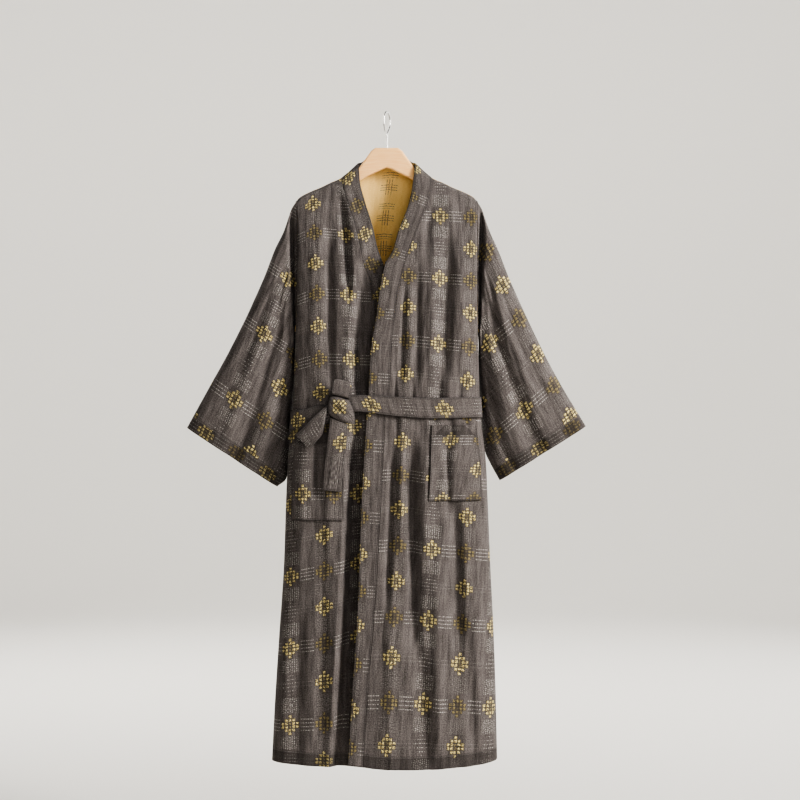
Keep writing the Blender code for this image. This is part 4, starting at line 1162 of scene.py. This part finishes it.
def sleeve_uv(grid, side):
    """Weave coordinates of a sleeve: its warp runs along the sleeve, with a shifted cuff hem."""
    origin, axis, step, slant, rows = SLEEVE_WEAVE[side]
    axis = np.array(axis) / np.linalg.norm(axis)
    offset = grid[..., [0, 2]] - np.array(origin)
    along = offset @ axis
    across = offset @ np.array([-axis[1], axis[0]])
    level = along - slant * across
    above = np.minimum(level - rows[0][0], 0.0) / SLEEVE_ROW_ABOVE
    below = np.maximum(level - rows[-1][0], 0.0) / SLEEVE_ROW_BELOW
    row = follow(rows, 1, level) + below + above
    column = across / step + SLEEVE_COLUMN
    cuff = distances(grid)[1]
    hem = cuff < CUFF_HEM
    column = np.where(hem, column + CUFF_SHIFT[side], column)
    row = np.where(hem, CUFF_ROW + (CUFF_HEM / 2 - cuff) / ROW_STEP, row)
    return np.stack([column, row], axis=-1)


def band_uv(band, over_rows, neck_rows):
    """Weave coordinates of the collar band, by height on both fronts and by length round the neck."""
    down, _, across, rest = distances(band)
    width = across + rest
    share = np.clip((np.arange(len(band)) - over_rows) / neck_rows, 0.0, 1.0)[:, None]
    centre = width * (1.0 - share) + UNDER_BAND_MIDDLE * share
    middle = len(BAND_SHARES) // 2
    over = follow(OVER_BAND_ROWS, 1, band[:, -1, 2])
    under = -follow(UNDER_BAND_ROWS, 1, band[:, middle, 2])
    end, start = over[over_rows - 1], under[over_rows + neck_rows]
    length = down[over_rows + neck_rows, middle] - down[over_rows, middle]
    shift = 2.0 * round((end - length / ROW_STEP - start) / 2.0)
    under = under + shift
    row = np.where(share[:, 0] <= 0, over, under)
    neck = (share[:, 0] > 0) & (share[:, 0] < 1)
    row[neck] = (end + (start + shift - end) * share[:, 0])[neck]
    row = np.repeat(row[:, None], band.shape[1], axis=1)
    return np.stack([(across - centre) / COLUMN_STEP, row], axis=-1)


def cloth_piece(name, grid, uv, seams, wall, materials, facing, node):
    """A high-resolution shell over a grid, with its weave and seam coordinates, for a node."""
    rows, columns = grid.shape[:2]
    index = np.arange(rows * columns).reshape(rows, columns)
    corners = [index[:-1, :-1], index[:-1, 1:], index[1:, 1:], index[1:, :-1]]
    quads = np.stack(corners, axis=-1).reshape(-1, 4)
    row, column = rows // 2, columns // 2
    along_row = grid[row, column + 1] - grid[row, column]
    along_column = grid[row + 1, column] - grid[row, column]
    if np.dot(np.cross(along_row, along_column), facing) < 0:
        quads = quads[:, ::-1]
    mesh = bpy.data.meshes.new(name)
    mesh.from_pydata((grid.reshape(-1, 3) * MM).tolist(), [], quads.tolist())
    points = np.empty(len(mesh.loops), dtype=np.int32)
    mesh.loops.foreach_get("vertex_index", points)
    for layer_name, values in (("weave", uv), ("seams", seams)):
        layer = mesh.uv_layers.new(name=layer_name)
        layer.data.foreach_set("uv", values.reshape(-1, 2)[points].astype(np.float32).ravel())
    for surface in materials:
        mesh.materials.append(surface)
    mesh.shade_smooth()
    made = bpy.data.objects.new(name, mesh)
    bpy.context.scene.collection.objects.link(made)
    thick = made.modifiers.new("wall", "SOLIDIFY")
    thick.thickness = wall * MM
    thick.offset = -1.0
    thick.use_quality_normals = True
    thick.material_offset = len(materials) - 1
    thick.material_offset_rim = 0
    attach(made, "root")
    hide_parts(node)
    return made


class Number:
    """A number inside a material's nodes: arithmetic on it adds Math nodes."""

    def __init__(self, tree, socket):
        self.tree = tree
        self.socket = socket

    def math(self, operation, *others, clamp=False):
        node = self.tree.nodes.new("ShaderNodeMath")
        node.operation = operation
        node.use_clamp = clamp
        for slot, value in zip(node.inputs, (self, *others)):
            if isinstance(value, Number):
                self.tree.links.new(value.socket, slot)
            else:
                slot.default_value = value
        return Number(self.tree, node.outputs[0])

    def __add__(self, other):
        return self.math("ADD", other)

    def __sub__(self, other):
        return self.math("SUBTRACT", other)

    def __mul__(self, other):
        return self.math("MULTIPLY", other)

    def __truediv__(self, other):
        return self.math("DIVIDE", other)

    def above(self, other):
        return self.math("GREATER_THAN", other)

    def below(self, other):
        return self.math("LESS_THAN", other)

    def invert(self):
        return self.math("MULTIPLY_ADD", -1.0, 1.0)

    def either(self, other):
        return self.math("MAXIMUM", other)

    def size(self):
        return self.math("ABSOLUTE")

    def round(self):
        return self.math("ROUND")

    def part(self):
        """What is left of the number above the whole number below it."""
        return self.math("FLOORED_MODULO", 1.0)

    def odd(self):
        """1 where a whole number is odd, else 0."""
        return self.math("FLOORED_MODULO", 2.0).above(0.5)

    def ramp(self, low, high):
        """0 at low, 1 at high, eased between."""
        node = self.tree.nodes.new("ShaderNodeMapRange")
        node.interpolation_type = "SMOOTHSTEP"
        self.tree.links.new(self.socket, node.inputs["Value"])
        node.inputs["From Min"].default_value = low
        node.inputs["From Max"].default_value = high
        return Number(self.tree, node.outputs["Result"])


def join_numbers(tree, x, y):
    node = tree.nodes.new("ShaderNodeCombineXYZ")
    tree.links.new(x.socket, node.inputs[0])
    tree.links.new(y.socket, node.inputs[1])
    return node.outputs[0]


def noise(tree, place, detail=2.0):
    node = tree.nodes.new("ShaderNodeTexNoise")
    node.noise_dimensions = "2D"
    tree.links.new(place, node.inputs["Vector"])
    node.inputs["Scale"].default_value = 1.0
    node.inputs["Detail"].default_value = detail
    return Number(tree, node.outputs["Fac"])


def weave_noise(tree, u, v, table, shift=0.0):
    """Noise over the weave, from a row of cells across, cells down and detail."""
    across, down, detail = table
    x = u * across + shift if shift else u * across
    return noise(tree, join_numbers(tree, x, v * down), detail)


def weigh(numbers, shares, middle=0.0):
    """Numbers less a middle, each times its share, added up."""
    parts = [(number - middle if middle else number) * share for number, share in zip(numbers, shares)]
    total = parts[0]
    for part in parts[1:]:
        total = total + part
    return total


def mix_colour(tree, factor, first, second):
    node = tree.nodes.new("ShaderNodeMix")
    node.data_type = "RGBA"
    tree.links.new(factor.socket, node.inputs["Factor"])
    for slot, value in ((node.inputs["A"], first), (node.inputs["B"], second)):
        if isinstance(value, tuple):
            slot.default_value = (*value, 1.0)
        else:
            tree.links.new(value, slot)
    return node.outputs["Result"]


def new_material(name):
    made = bpy.data.materials.new(name)
    made.use_nodes = True
    tree = made.node_tree
    return made, tree, tree.nodes["Principled BSDF"]


def coordinates(tree, layer):
    """Both numbers of one layer of coordinates at each point."""
    source = tree.nodes.new("ShaderNodeUVMap")
    source.uv_map = layer
    split = tree.nodes.new("ShaderNodeSeparateXYZ")
    tree.links.new(source.outputs["UV"], split.inputs[0])
    return Number(tree, split.outputs[0]), Number(tree, split.outputs[1])


def from_motif(u, v):
    """The nearest motif's column and row, and the place from its middle in mm."""
    column, row = u.round(), v.round()
    return column, row, (u - column) * COLUMN_STEP, (v - row) * ROW_STEP


def repeat_masks(tree, u, v):
    """Masks of the woven repeat: bright flowers, dull flowers, pale threads and speckled columns, and the
    dark ground of the columns' specks with painted shade within the flowers.
    """
    column, row, x, y = from_motif(u, v)
    odd_column, odd_row = column.odd(), row.odd()
    wander_x, wander_y = FLOWER_WANDER
    i = (x + (weave_noise(tree, u, v, FLOWER_NOISE) - 0.5) * wander_x) / BLOB_WIDE
    j = ((y + (weave_noise(tree, u, v, FLOWER_NOISE, SWAY_SHIFT) - 0.5) * wander_y) / BLOB_HIGH).size()
    step_i = i.round().size()
    step_j = j.math("FLOOR")
    in_reach = (step_i + step_j).below(FLOWER_CELLS)
    hole = step_i.below(0.5) * step_j.below(0.5) * FLOWER_HOLE
    cell = (i - i.round()).size().either((j - step_j - 0.5).size())
    worn = weave_noise(tree, u, v, WORN_NOISE, WORN_SHIFT).ramp(*WORN_EDGE)
    flower = in_reach * hole.invert() * cell.ramp(*CELL_EDGE) * worn
    # Painted shade: the ground around and between a flower's cells is darkened wherever a flower is woven
    shadow = in_reach * (odd_column * odd_row.invert()).invert()
    outside = (x.size() / FLOWER_HALF[0]).either(y.size() / FLOWER_HALF[1]).ramp(*FREE_EDGE)
    gold = flower * (odd_column - odd_row).size().invert()
    dull_gold = flower * odd_column.invert() * odd_row
    dash = (u * (COLUMN_STEP / DASH_PITCH)).part().ramp(*DASH_EDGE)
    line = y / LINE_PITCH + 0.5
    line_number = (line.round() - 0.5).size()
    thread = ((line - line.round()).size() * LINE_PITCH).ramp(*LINE_EDGE)
    thread = thread * weave_noise(tree, u, v, GAP_NOISE).ramp(*GAP_EDGE)
    weft = thread * (dash * (1.0 - DASH_REST) + DASH_REST)
    stripes = weft * odd_row * line_number.below(2.0) * outside
    faint = weft * odd_row.invert() * line_number.below(1.0) * FAINT_SHARE * outside
    grain = weave_noise(tree, u, v, GRAIN_NOISE)
    cross = (x.size() + y.size() * GHOST_LEAN).ramp(*CROSS_EDGE) * grain.ramp(*GHOST_EDGE)
    ghost = thread * dash * odd_column * odd_row.invert() * line_number.below(3.0) * cross
    in_column = x.size().ramp(*COLUMN_EDGE)
    dots = (y / DOT_STEP + step_i * 0.5).part().ramp(*DOT_EDGE)
    warp = x / WARP_STEP
    lines = (warp - warp.round()).size().ramp(*WARP_EDGE)
    speckle = dots * lines * grain.ramp(*SPECKLE_EDGE) * in_column
    speckle = speckle * (odd_column * SPECKLE_SHARE[1] + SPECKLE_SHARE[0])
    dark_ground = grain.ramp(*PIT_EDGE) * in_column * (odd_column * PIT_SHARE[1] + PIT_SHARE[0])
    pale = (stripes * STRIPE_SHARE).either(speckle * outside).either(ghost * GHOST_SHARE).either(faint)
    return gold, dull_gold, pale, dark_ground.either(shadow * SHADOW_SHARE)


def seam_marks(tree):
    """Masks of the stitched lines: the dip along them, a groove whose colour is painted shade, with a
    painted shadow along an edge, and their thread.
    """
    inward, along = (number * SEAM_UNIT for number in coordinates(tree, "seams"))
    dash = (along / STITCH_STEP).part().ramp(*STITCH_DASH)
    # Painted shadow along an edge, full close to the edge. It does not end past a stitched line, so on a
    # turned hem it darkens the whole fold
    painted_edge_shadow = inward.ramp(*(place - STITCH_INSET for place in STITCH_EDGE_SHADOW))
    return inward.size().ramp(*STITCH_DIP) + painted_edge_shadow, inward.size().ramp(*STITCH_THREAD) * dash


def thread_detail(tree, u, v):
    """Slub streaks along the warp, slow shade changes and heathered threads, each from 0 to 1."""
    return [weave_noise(tree, u, v, table) for table in (STREAK_NOISE, BROAD_SHADE_NOISE, HEATHER_NOISE)]


def cloth_ground(tree, numbers, shares, middle, dark, light):
    """Plain colour of a face of the cloth, uneven from thread to thread."""
    shade = weigh(numbers, shares, 0.5).math("ADD", middle, clamp=True)
    return mix_colour(tree, shade, dark, light)


def finish_surface(tree, shader, colour, finish, height, bump):
    """A surface's colour and relief, and the settings that are the same all over it."""
    tree.links.new(colour, shader.inputs["Base Color"])
    for name, value in finish.items():
        shader.inputs[name].default_value = value
    node = tree.nodes.new("ShaderNodeBump")
    node.inputs["Strength"].default_value, node.inputs["Distance"].default_value = bump
    tree.links.new(height.socket, node.inputs["Height"])
    tree.links.new(node.outputs["Normal"], shader.inputs["Normal"])


def outer_cloth():
    """Grey-brown face of the double weave with its woven gold and pale repeat."""
    made, tree, shader = new_material("robe_outer_weave")
    u, v = coordinates(tree, "weave")
    threads = thread_detail(tree, u, v)
    colour = cloth_ground(tree, threads, OUTER_SHADE, OUTER_MIDDLE, GROUND_DARK, GROUND_LIGHT)
    gold, dull_gold, pale, dark_ground = repeat_masks(tree, u, v)
    dip_and_painted_shade, stitch = seam_marks(tree)
    tint = weave_noise(tree, u, v, TINT_NOISE).ramp(*TINT_EDGE)
    gold_colour = mix_colour(tree, tint, GOLD_DEEP, GOLD_BRIGHT)
    for mask, share, mark in (
        # The dark ground mask holds the columns' dark specks and the painted shade within the flowers
        (dark_ground, SPECK_AND_SHADE_COLOUR, GROUND_DARK),
        (dull_gold, DULL_COLOUR, DULL_GOLD),
        (pale, PALE_COLOUR, PALE_THREAD),
        (gold, GOLD_COLOUR, gold_colour),
        # Painted shade: the stitch dips and the shadow along edges darken the colour
        (dip_and_painted_shade, DIP_PAINTED_SHADE, GROUND_DARK),
        (stitch, STITCH_COLOUR, GROUND_LIGHT),
    ):
        colour = mix_colour(tree, mask * share, colour, mark)
    raised = gold.either(dull_gold).either(pale) + stitch
    height = weigh(threads, OUTER_RELIEF) + raised * RAISED_RELIEF - dip_and_painted_shade * DIP_RELIEF
    finish_surface(tree, shader, colour, OUTER_FINISH, height, OUTER_BUMP)
    return made


def crossed_lines(tree, u, v, heather):
    """Mask of the small crossed lines of the reverse, where the face has its flowers."""
    column, _, x, y = from_motif(u, v)
    bar, beam = ((place / MARK_STEP - (place / MARK_STEP).round()).size() * MARK_STEP for place in (x, y))

    def group(lines, edge, place, half):
        """Lines kept within half a width and half a height of a place."""
        return lines.ramp(*edge) * x.size().below(half[0]) * place.size().below(half[1])

    marks = group(bar, MARK_EDGE, y, BAR_HALF).either(group(beam, MARK_EDGE, y, BEAM_HALF))
    marks = marks.either(group(beam, MARK_EDGE, y + LOW_BEAM_DROP, LOW_BEAM_HALF))
    marks = marks * weave_noise(tree, u, v, MARK_NOISE).ramp(*MARK_GAP_EDGE)
    dotted = bar.ramp(*DOTTED_EDGE) * x.size().below(BAR_HALF[0])
    dotted = dotted * heather.ramp(*DOTTED_GRAIN) * DOTTED_SHARE
    return marks.either(dotted) * column.odd().invert()


def inner_cloth():
    """Mustard reverse of the double weave, with small grey crossed lines where the flowers lie."""
    made, tree, shader = new_material("robe_inner_weave")
    u, v = coordinates(tree, "weave")
    threads = [*thread_detail(tree, u, v), weave_noise(tree, u, v, RIB_NOISE)]
    ground = cloth_ground(tree, threads, INNER_SHADE, INNER_MIDDLE, MUSTARD_DARK, MUSTARD_LIGHT)
    marks = crossed_lines(tree, u, v, threads[2]) * MARK_COLOUR
    colour = mix_colour(tree, marks, ground, GREY_MARK)
    finish_surface(tree, shader, colour, INNER_FINISH, weigh(threads, INNER_RELIEF), INNER_BUMP)
    return made


def wood():
    """Pale smooth wood with long grain along the board and a few darker lines."""
    made, tree, shader = new_material("pale_hanger_wood")
    place = tree.nodes.new("ShaderNodeTexCoord")
    split = tree.nodes.new("ShaderNodeSeparateXYZ")
    tree.links.new(place.outputs["Object"], split.inputs[0])
    x, y, z = (Number(tree, split.outputs[axis]) for axis in range(3))
    arc = z + (x * x) * WOOD_ARCH
    across, down, strength = WOOD_BEND
    bend = noise(tree, join_numbers(tree, x * across, z * down)) * strength
    across, down, deep, detail = WOOD_GRAIN
    grain = noise(tree, join_numbers(tree, x * across + bend, arc * down + y * deep), detail)
    across, down, deep, detail = WOOD_CLOUDS
    clouds = noise(tree, join_numbers(tree, x * across, arc * down + y * deep), detail)
    colour = mix_colour(tree, weigh((grain, clouds), WOOD_SHARES).ramp(*WOOD_EDGE), WOOD_DARK, WOOD_LIGHT)
    finish_surface(tree, shader, colour, WOOD_FINISH, grain, WOOD_BUMP)
    return made


def steel():
    """Bright bent wire with faint drawing marks along it."""
    made, tree, shader = new_material("hook_steel_wire")
    place = tree.nodes.new("ShaderNodeTexCoord")
    marks = tree.nodes.new("ShaderNodeTexNoise")
    marks.inputs["Scale"].default_value = STEEL_MARKS
    tree.links.new(place.outputs["Object"], marks.inputs["Vector"])
    worn = Number(tree, marks.outputs["Fac"])
    colour = mix_colour(tree, worn, STEEL_DARK, STEEL_LIGHT)
    tree.links.new(colour, shader.inputs["Base Color"])
    tree.links.new((worn * STEEL_WORN + STEEL_ROUGHNESS).socket, shader.inputs["Roughness"])
    shader.inputs["Metallic"].default_value = 1.0
    return made


def add_camera():
    lens = bpy.data.cameras.new("photo_camera")
    lens.lens = CAMERA_LENS
    lens.sensor_width = CAMERA_SENSOR
    camera = bpy.data.objects.new("photo_camera", lens)
    camera.location = (CAMERA_X, -CAMERA_AWAY, CAMERA_Z)
    camera.rotation_euler = (math.radians(90.0), 0.0, 0.0)
    bpy.context.scene.collection.objects.link(camera)
    bpy.context.scene.camera = camera


def area_light(name, place, target, size, power, colour):
    lamp = bpy.data.lights.new(name, "AREA")
    lamp.shape = "RECTANGLE"
    lamp.size, lamp.size_y = size
    lamp.energy = power
    lamp.color = colour
    made = bpy.data.objects.new(name, lamp)
    made.location = place
    made.rotation_euler = (Vector(target) - Vector(place)).to_track_quat("-Z", "Y").to_euler()
    bpy.context.scene.collection.objects.link(made)


def add_studio():
    """A pale round floor that curves up into a plain wall, soft lights and an even sky."""
    profile = [(ROOM_CENTRE, 0.0), (ROOM_RADIUS - ROOM_CURVE, 0.0)]
    for step in range(1, ROOM_STEPS + 1):
        angle = math.pi / 2 * step / ROOM_STEPS
        inward = ROOM_CURVE * (1.0 - math.sin(angle))
        profile.append((ROOM_RADIUS - inward, ROOM_CURVE * (1.0 - math.cos(angle))))
    profile.append((ROOM_RADIUS, ROOM_HEIGHT))
    angles = [2 * math.pi * turn / ROOM_TURNS for turn in range(ROOM_TURNS)]
    points = [
        (radius * math.cos(angle), radius * math.sin(angle), FLOOR_Z + rise)
        for radius, rise in profile
        for angle in angles
    ]
    faces = [
        (ring + turn, ring + (turn + 1) % ROOM_TURNS, ring + ROOM_TURNS + (turn + 1) % ROOM_TURNS,
         ring + ROOM_TURNS + turn)
        for ring in range(0, (len(profile) - 1) * ROOM_TURNS, ROOM_TURNS)
        for turn in range(ROOM_TURNS)
    ]
    faces.append(tuple(range(ROOM_TURNS)))
    mesh = bpy.data.meshes.new("studio_floor")
    mesh.from_pydata(points, [], faces)
    mesh.shade_smooth()
    made, tree, shader = new_material("studio_pale")
    shader.inputs["Base Color"].default_value = (*FLOOR_COLOUR, 1.0)
    shader.inputs["Roughness"].default_value = 0.95
    mesh.materials.append(made)
    floor = bpy.data.objects.new("studio_floor", mesh)
    bpy.context.scene.collection.objects.link(floor)
    for row in LIGHTS:
        area_light(*row)
    bpy.context.scene.view_settings.look = "AgX - High Contrast"
    world = bpy.data.worlds.new("even_sky")
    bpy.context.scene.world = world
    world.use_nodes = True
    sky = world.node_tree.nodes["Background"]
    sky.inputs["Color"].default_value = (*SKY_COLOUR, 1.0)
    sky.inputs["Strength"].default_value = SKY_STRENGTH


def body_pieces(outer, inner):
    """Back, fronts and sleeves."""
    over = front_panel(OVER_BAND, OVER_HEM, 1.0, over_front_y, OVER_COLUMNS)
    under = front_panel(UNDER_BAND, UNDER_HEM, -1.0, under_front_y, UNDER_COLUMNS)
    back = back_panel()
    cloth = (outer, inner)
    panels = (
        ("over_front_cloth", over, (OVER_COLUMN, OVER_ROWS, OVER_DROOP, 1.0), (0, -1, 0),
         "front_left_over", (0.33, 1.27), 0.71),
        ("under_front_cloth", under, (UNDER_COLUMN, UNDER_ROWS, UNDER_DROOP, -1.0), (0, -1, 0),
         "front_right_under", (0.29, 1.27), 0.75),
        ("back_cloth", back, (BACK_COLUMN, OVER_ROWS, BACK_DROOP, 1.0), (0, 1, 0),
         "back", (0.54, 1.27), 0.84),
    )
    for name, grid, weave, facing, node, flat, share in panels:
        _, to_hem, across, _ = distances(grid)
        seams = seam_uv([(to_hem - HEM_FOLD, across)])
        piece = cloth_piece(name, grid, panel_uv(grid, *weave), seams, CLOTH_WALL, cloth, facing, node)
        flat[0] * flat[1] * share
    for side, front, node, sign in (("right", over, "sleeve_left", 1), ("left", under, "sleeve_right", -1)):
        grid = sleeve(side, front, back)
        _, to_cuff, across, _ = distances(grid)
        seams = seam_uv([(to_cuff - CUFF_HEM, across)])
        uv = sleeve_uv(grid, side)
        piece = cloth_piece(node + "_cloth", grid, uv, seams, CLOTH_WALL, cloth, (sign, 0, 0), node)
    return over, under, back


def edge_seams(grid, sides=(2, 3), hem=0.0):
    """Stitched lines along some edges of a piece, and one across it below its first row."""
    lengths = distances(grid)
    lines = [(lengths[side] - STITCH_INSET, lengths[2] if side < 2 else lengths[0]) for side in sides]
    if hem:
        lines.append((lengths[0] - hem, lengths[2]))
    return seam_uv(lines)


def trim_pieces(outer, over, under, back):
    """Collar band, pockets and belt."""
    band = collar_band(over, under, back)
    uv = band_uv(band, len(over), len(band) - len(over) - len(under))
    seams = edge_seams(band)
    piece = cloth_piece("collar_band_cloth", band, uv, seams, BAND_WALL, (outer,), (0, 1, 0), "collar_band")
    for node, key, side, surface, corners in (
        ("pocket_left", "over", 1.0, over_front_y, OVER_POCKET),
        ("pocket_right", "under", -1.0, under_front_y, UNDER_POCKET),
    ):
        grid = patch_pocket(side, surface, corners, POCKET_ROWS, POCKET_COLUMNS)
        x, z, column, row, slant, across, down = POCKET_WEAVE[key]
        uv = place_uv(grid, (x, z), slant, (across, down), (column, row))
        seams = edge_seams(grid, (1, 2, 3), POCKET_HEM)
        piece = cloth_piece(node + "_cloth", grid, uv, seams, CLOTH_WALL, (outer,), (0, -1, 0), node)
    wrap = belt_wrap()
    middle = len(BELT_SHARES) // 2
    length = distances(wrap)[0][:, middle]
    front = len(wrap) // 2
    start = length[front + np.abs(wrap[front:, middle, 0] - BELT_MOTIF_X).argmin()]
    knot = knot_cover()
    loop = upper_loop()
    long_tail = tail(LONG_TAIL_LEFT, LONG_TAIL_RIGHT)
    short_tail = tail(SHORT_TAIL_UPPER, SHORT_TAIL_LOWER)
    long_uv = place_uv(long_tail, LONG_TAIL_MOTIF, LONG_TAIL_SLANT, LONG_TAIL_STEPS, (0, 0))
    long_uv[..., 1] -= np.maximum(long_uv[..., 1] - LONG_TAIL_PLAIN, 0.0) * LONG_TAIL_STRETCH
    steps = (COLUMN_STEP, ROW_STEP)
    short_uv = strip_uv(short_tail, *SHORT_TAIL_MOTIF, steps, False) + SHORT_TAIL_SHIFT
    wrap_uv = strip_uv(wrap, start, BELT_MOTIF_SIDE, (BELT_COLUMN_STEP, ROW_STEP), True)
    rows = (
        ("belt_wrap", wrap, wrap_uv, (0, 1, 0), (0.043, 0.9), "hung"),
        ("belt_knot", knot, turned_uv(knot, KNOT_MOTIF, KNOT_TURN), (0, -1, 0), (0.062, 0.066), "folded"),
        ("belt_loop", loop, strip_uv(loop, *LOOP_MOTIF, steps, False), (0, 0, 1), (0.04, 0.066), "folded"),
        ("belt_tail_long", long_tail, long_uv, (0, -1, 0), (0.04, 0.15), "hung"),
        ("belt_tail_short", short_tail, short_uv, (0, -1, 0), (0.042, 0.085), "hung"),
    )
    for node, grid, uv, facing, flat, held in rows:
        wall = LOOP_WALL if node == "belt_loop" else BELT_WALL
        sides = (1, 2, 3) if "tail" in node else (2, 3)
        piece = cloth_piece(node + "_cloth", grid, uv, edge_seams(grid, sides), wall, (outer,), facing, node)


def hanger_pieces():
    """The CAD board and hook keep their form and get wood and steel."""
    for node, surface in (("hanger_board", wood()), ("hanger_hook", steel())):
        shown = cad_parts[node]
        for slot in shown.material_slots:
            slot.material = surface


def main():
    add_camera()
    add_studio()
    outer, inner = outer_cloth(), inner_cloth()
    over, under, back = body_pieces(outer, inner)
    trim_pieces(outer, over, under, back)
    hanger_pieces()


main()
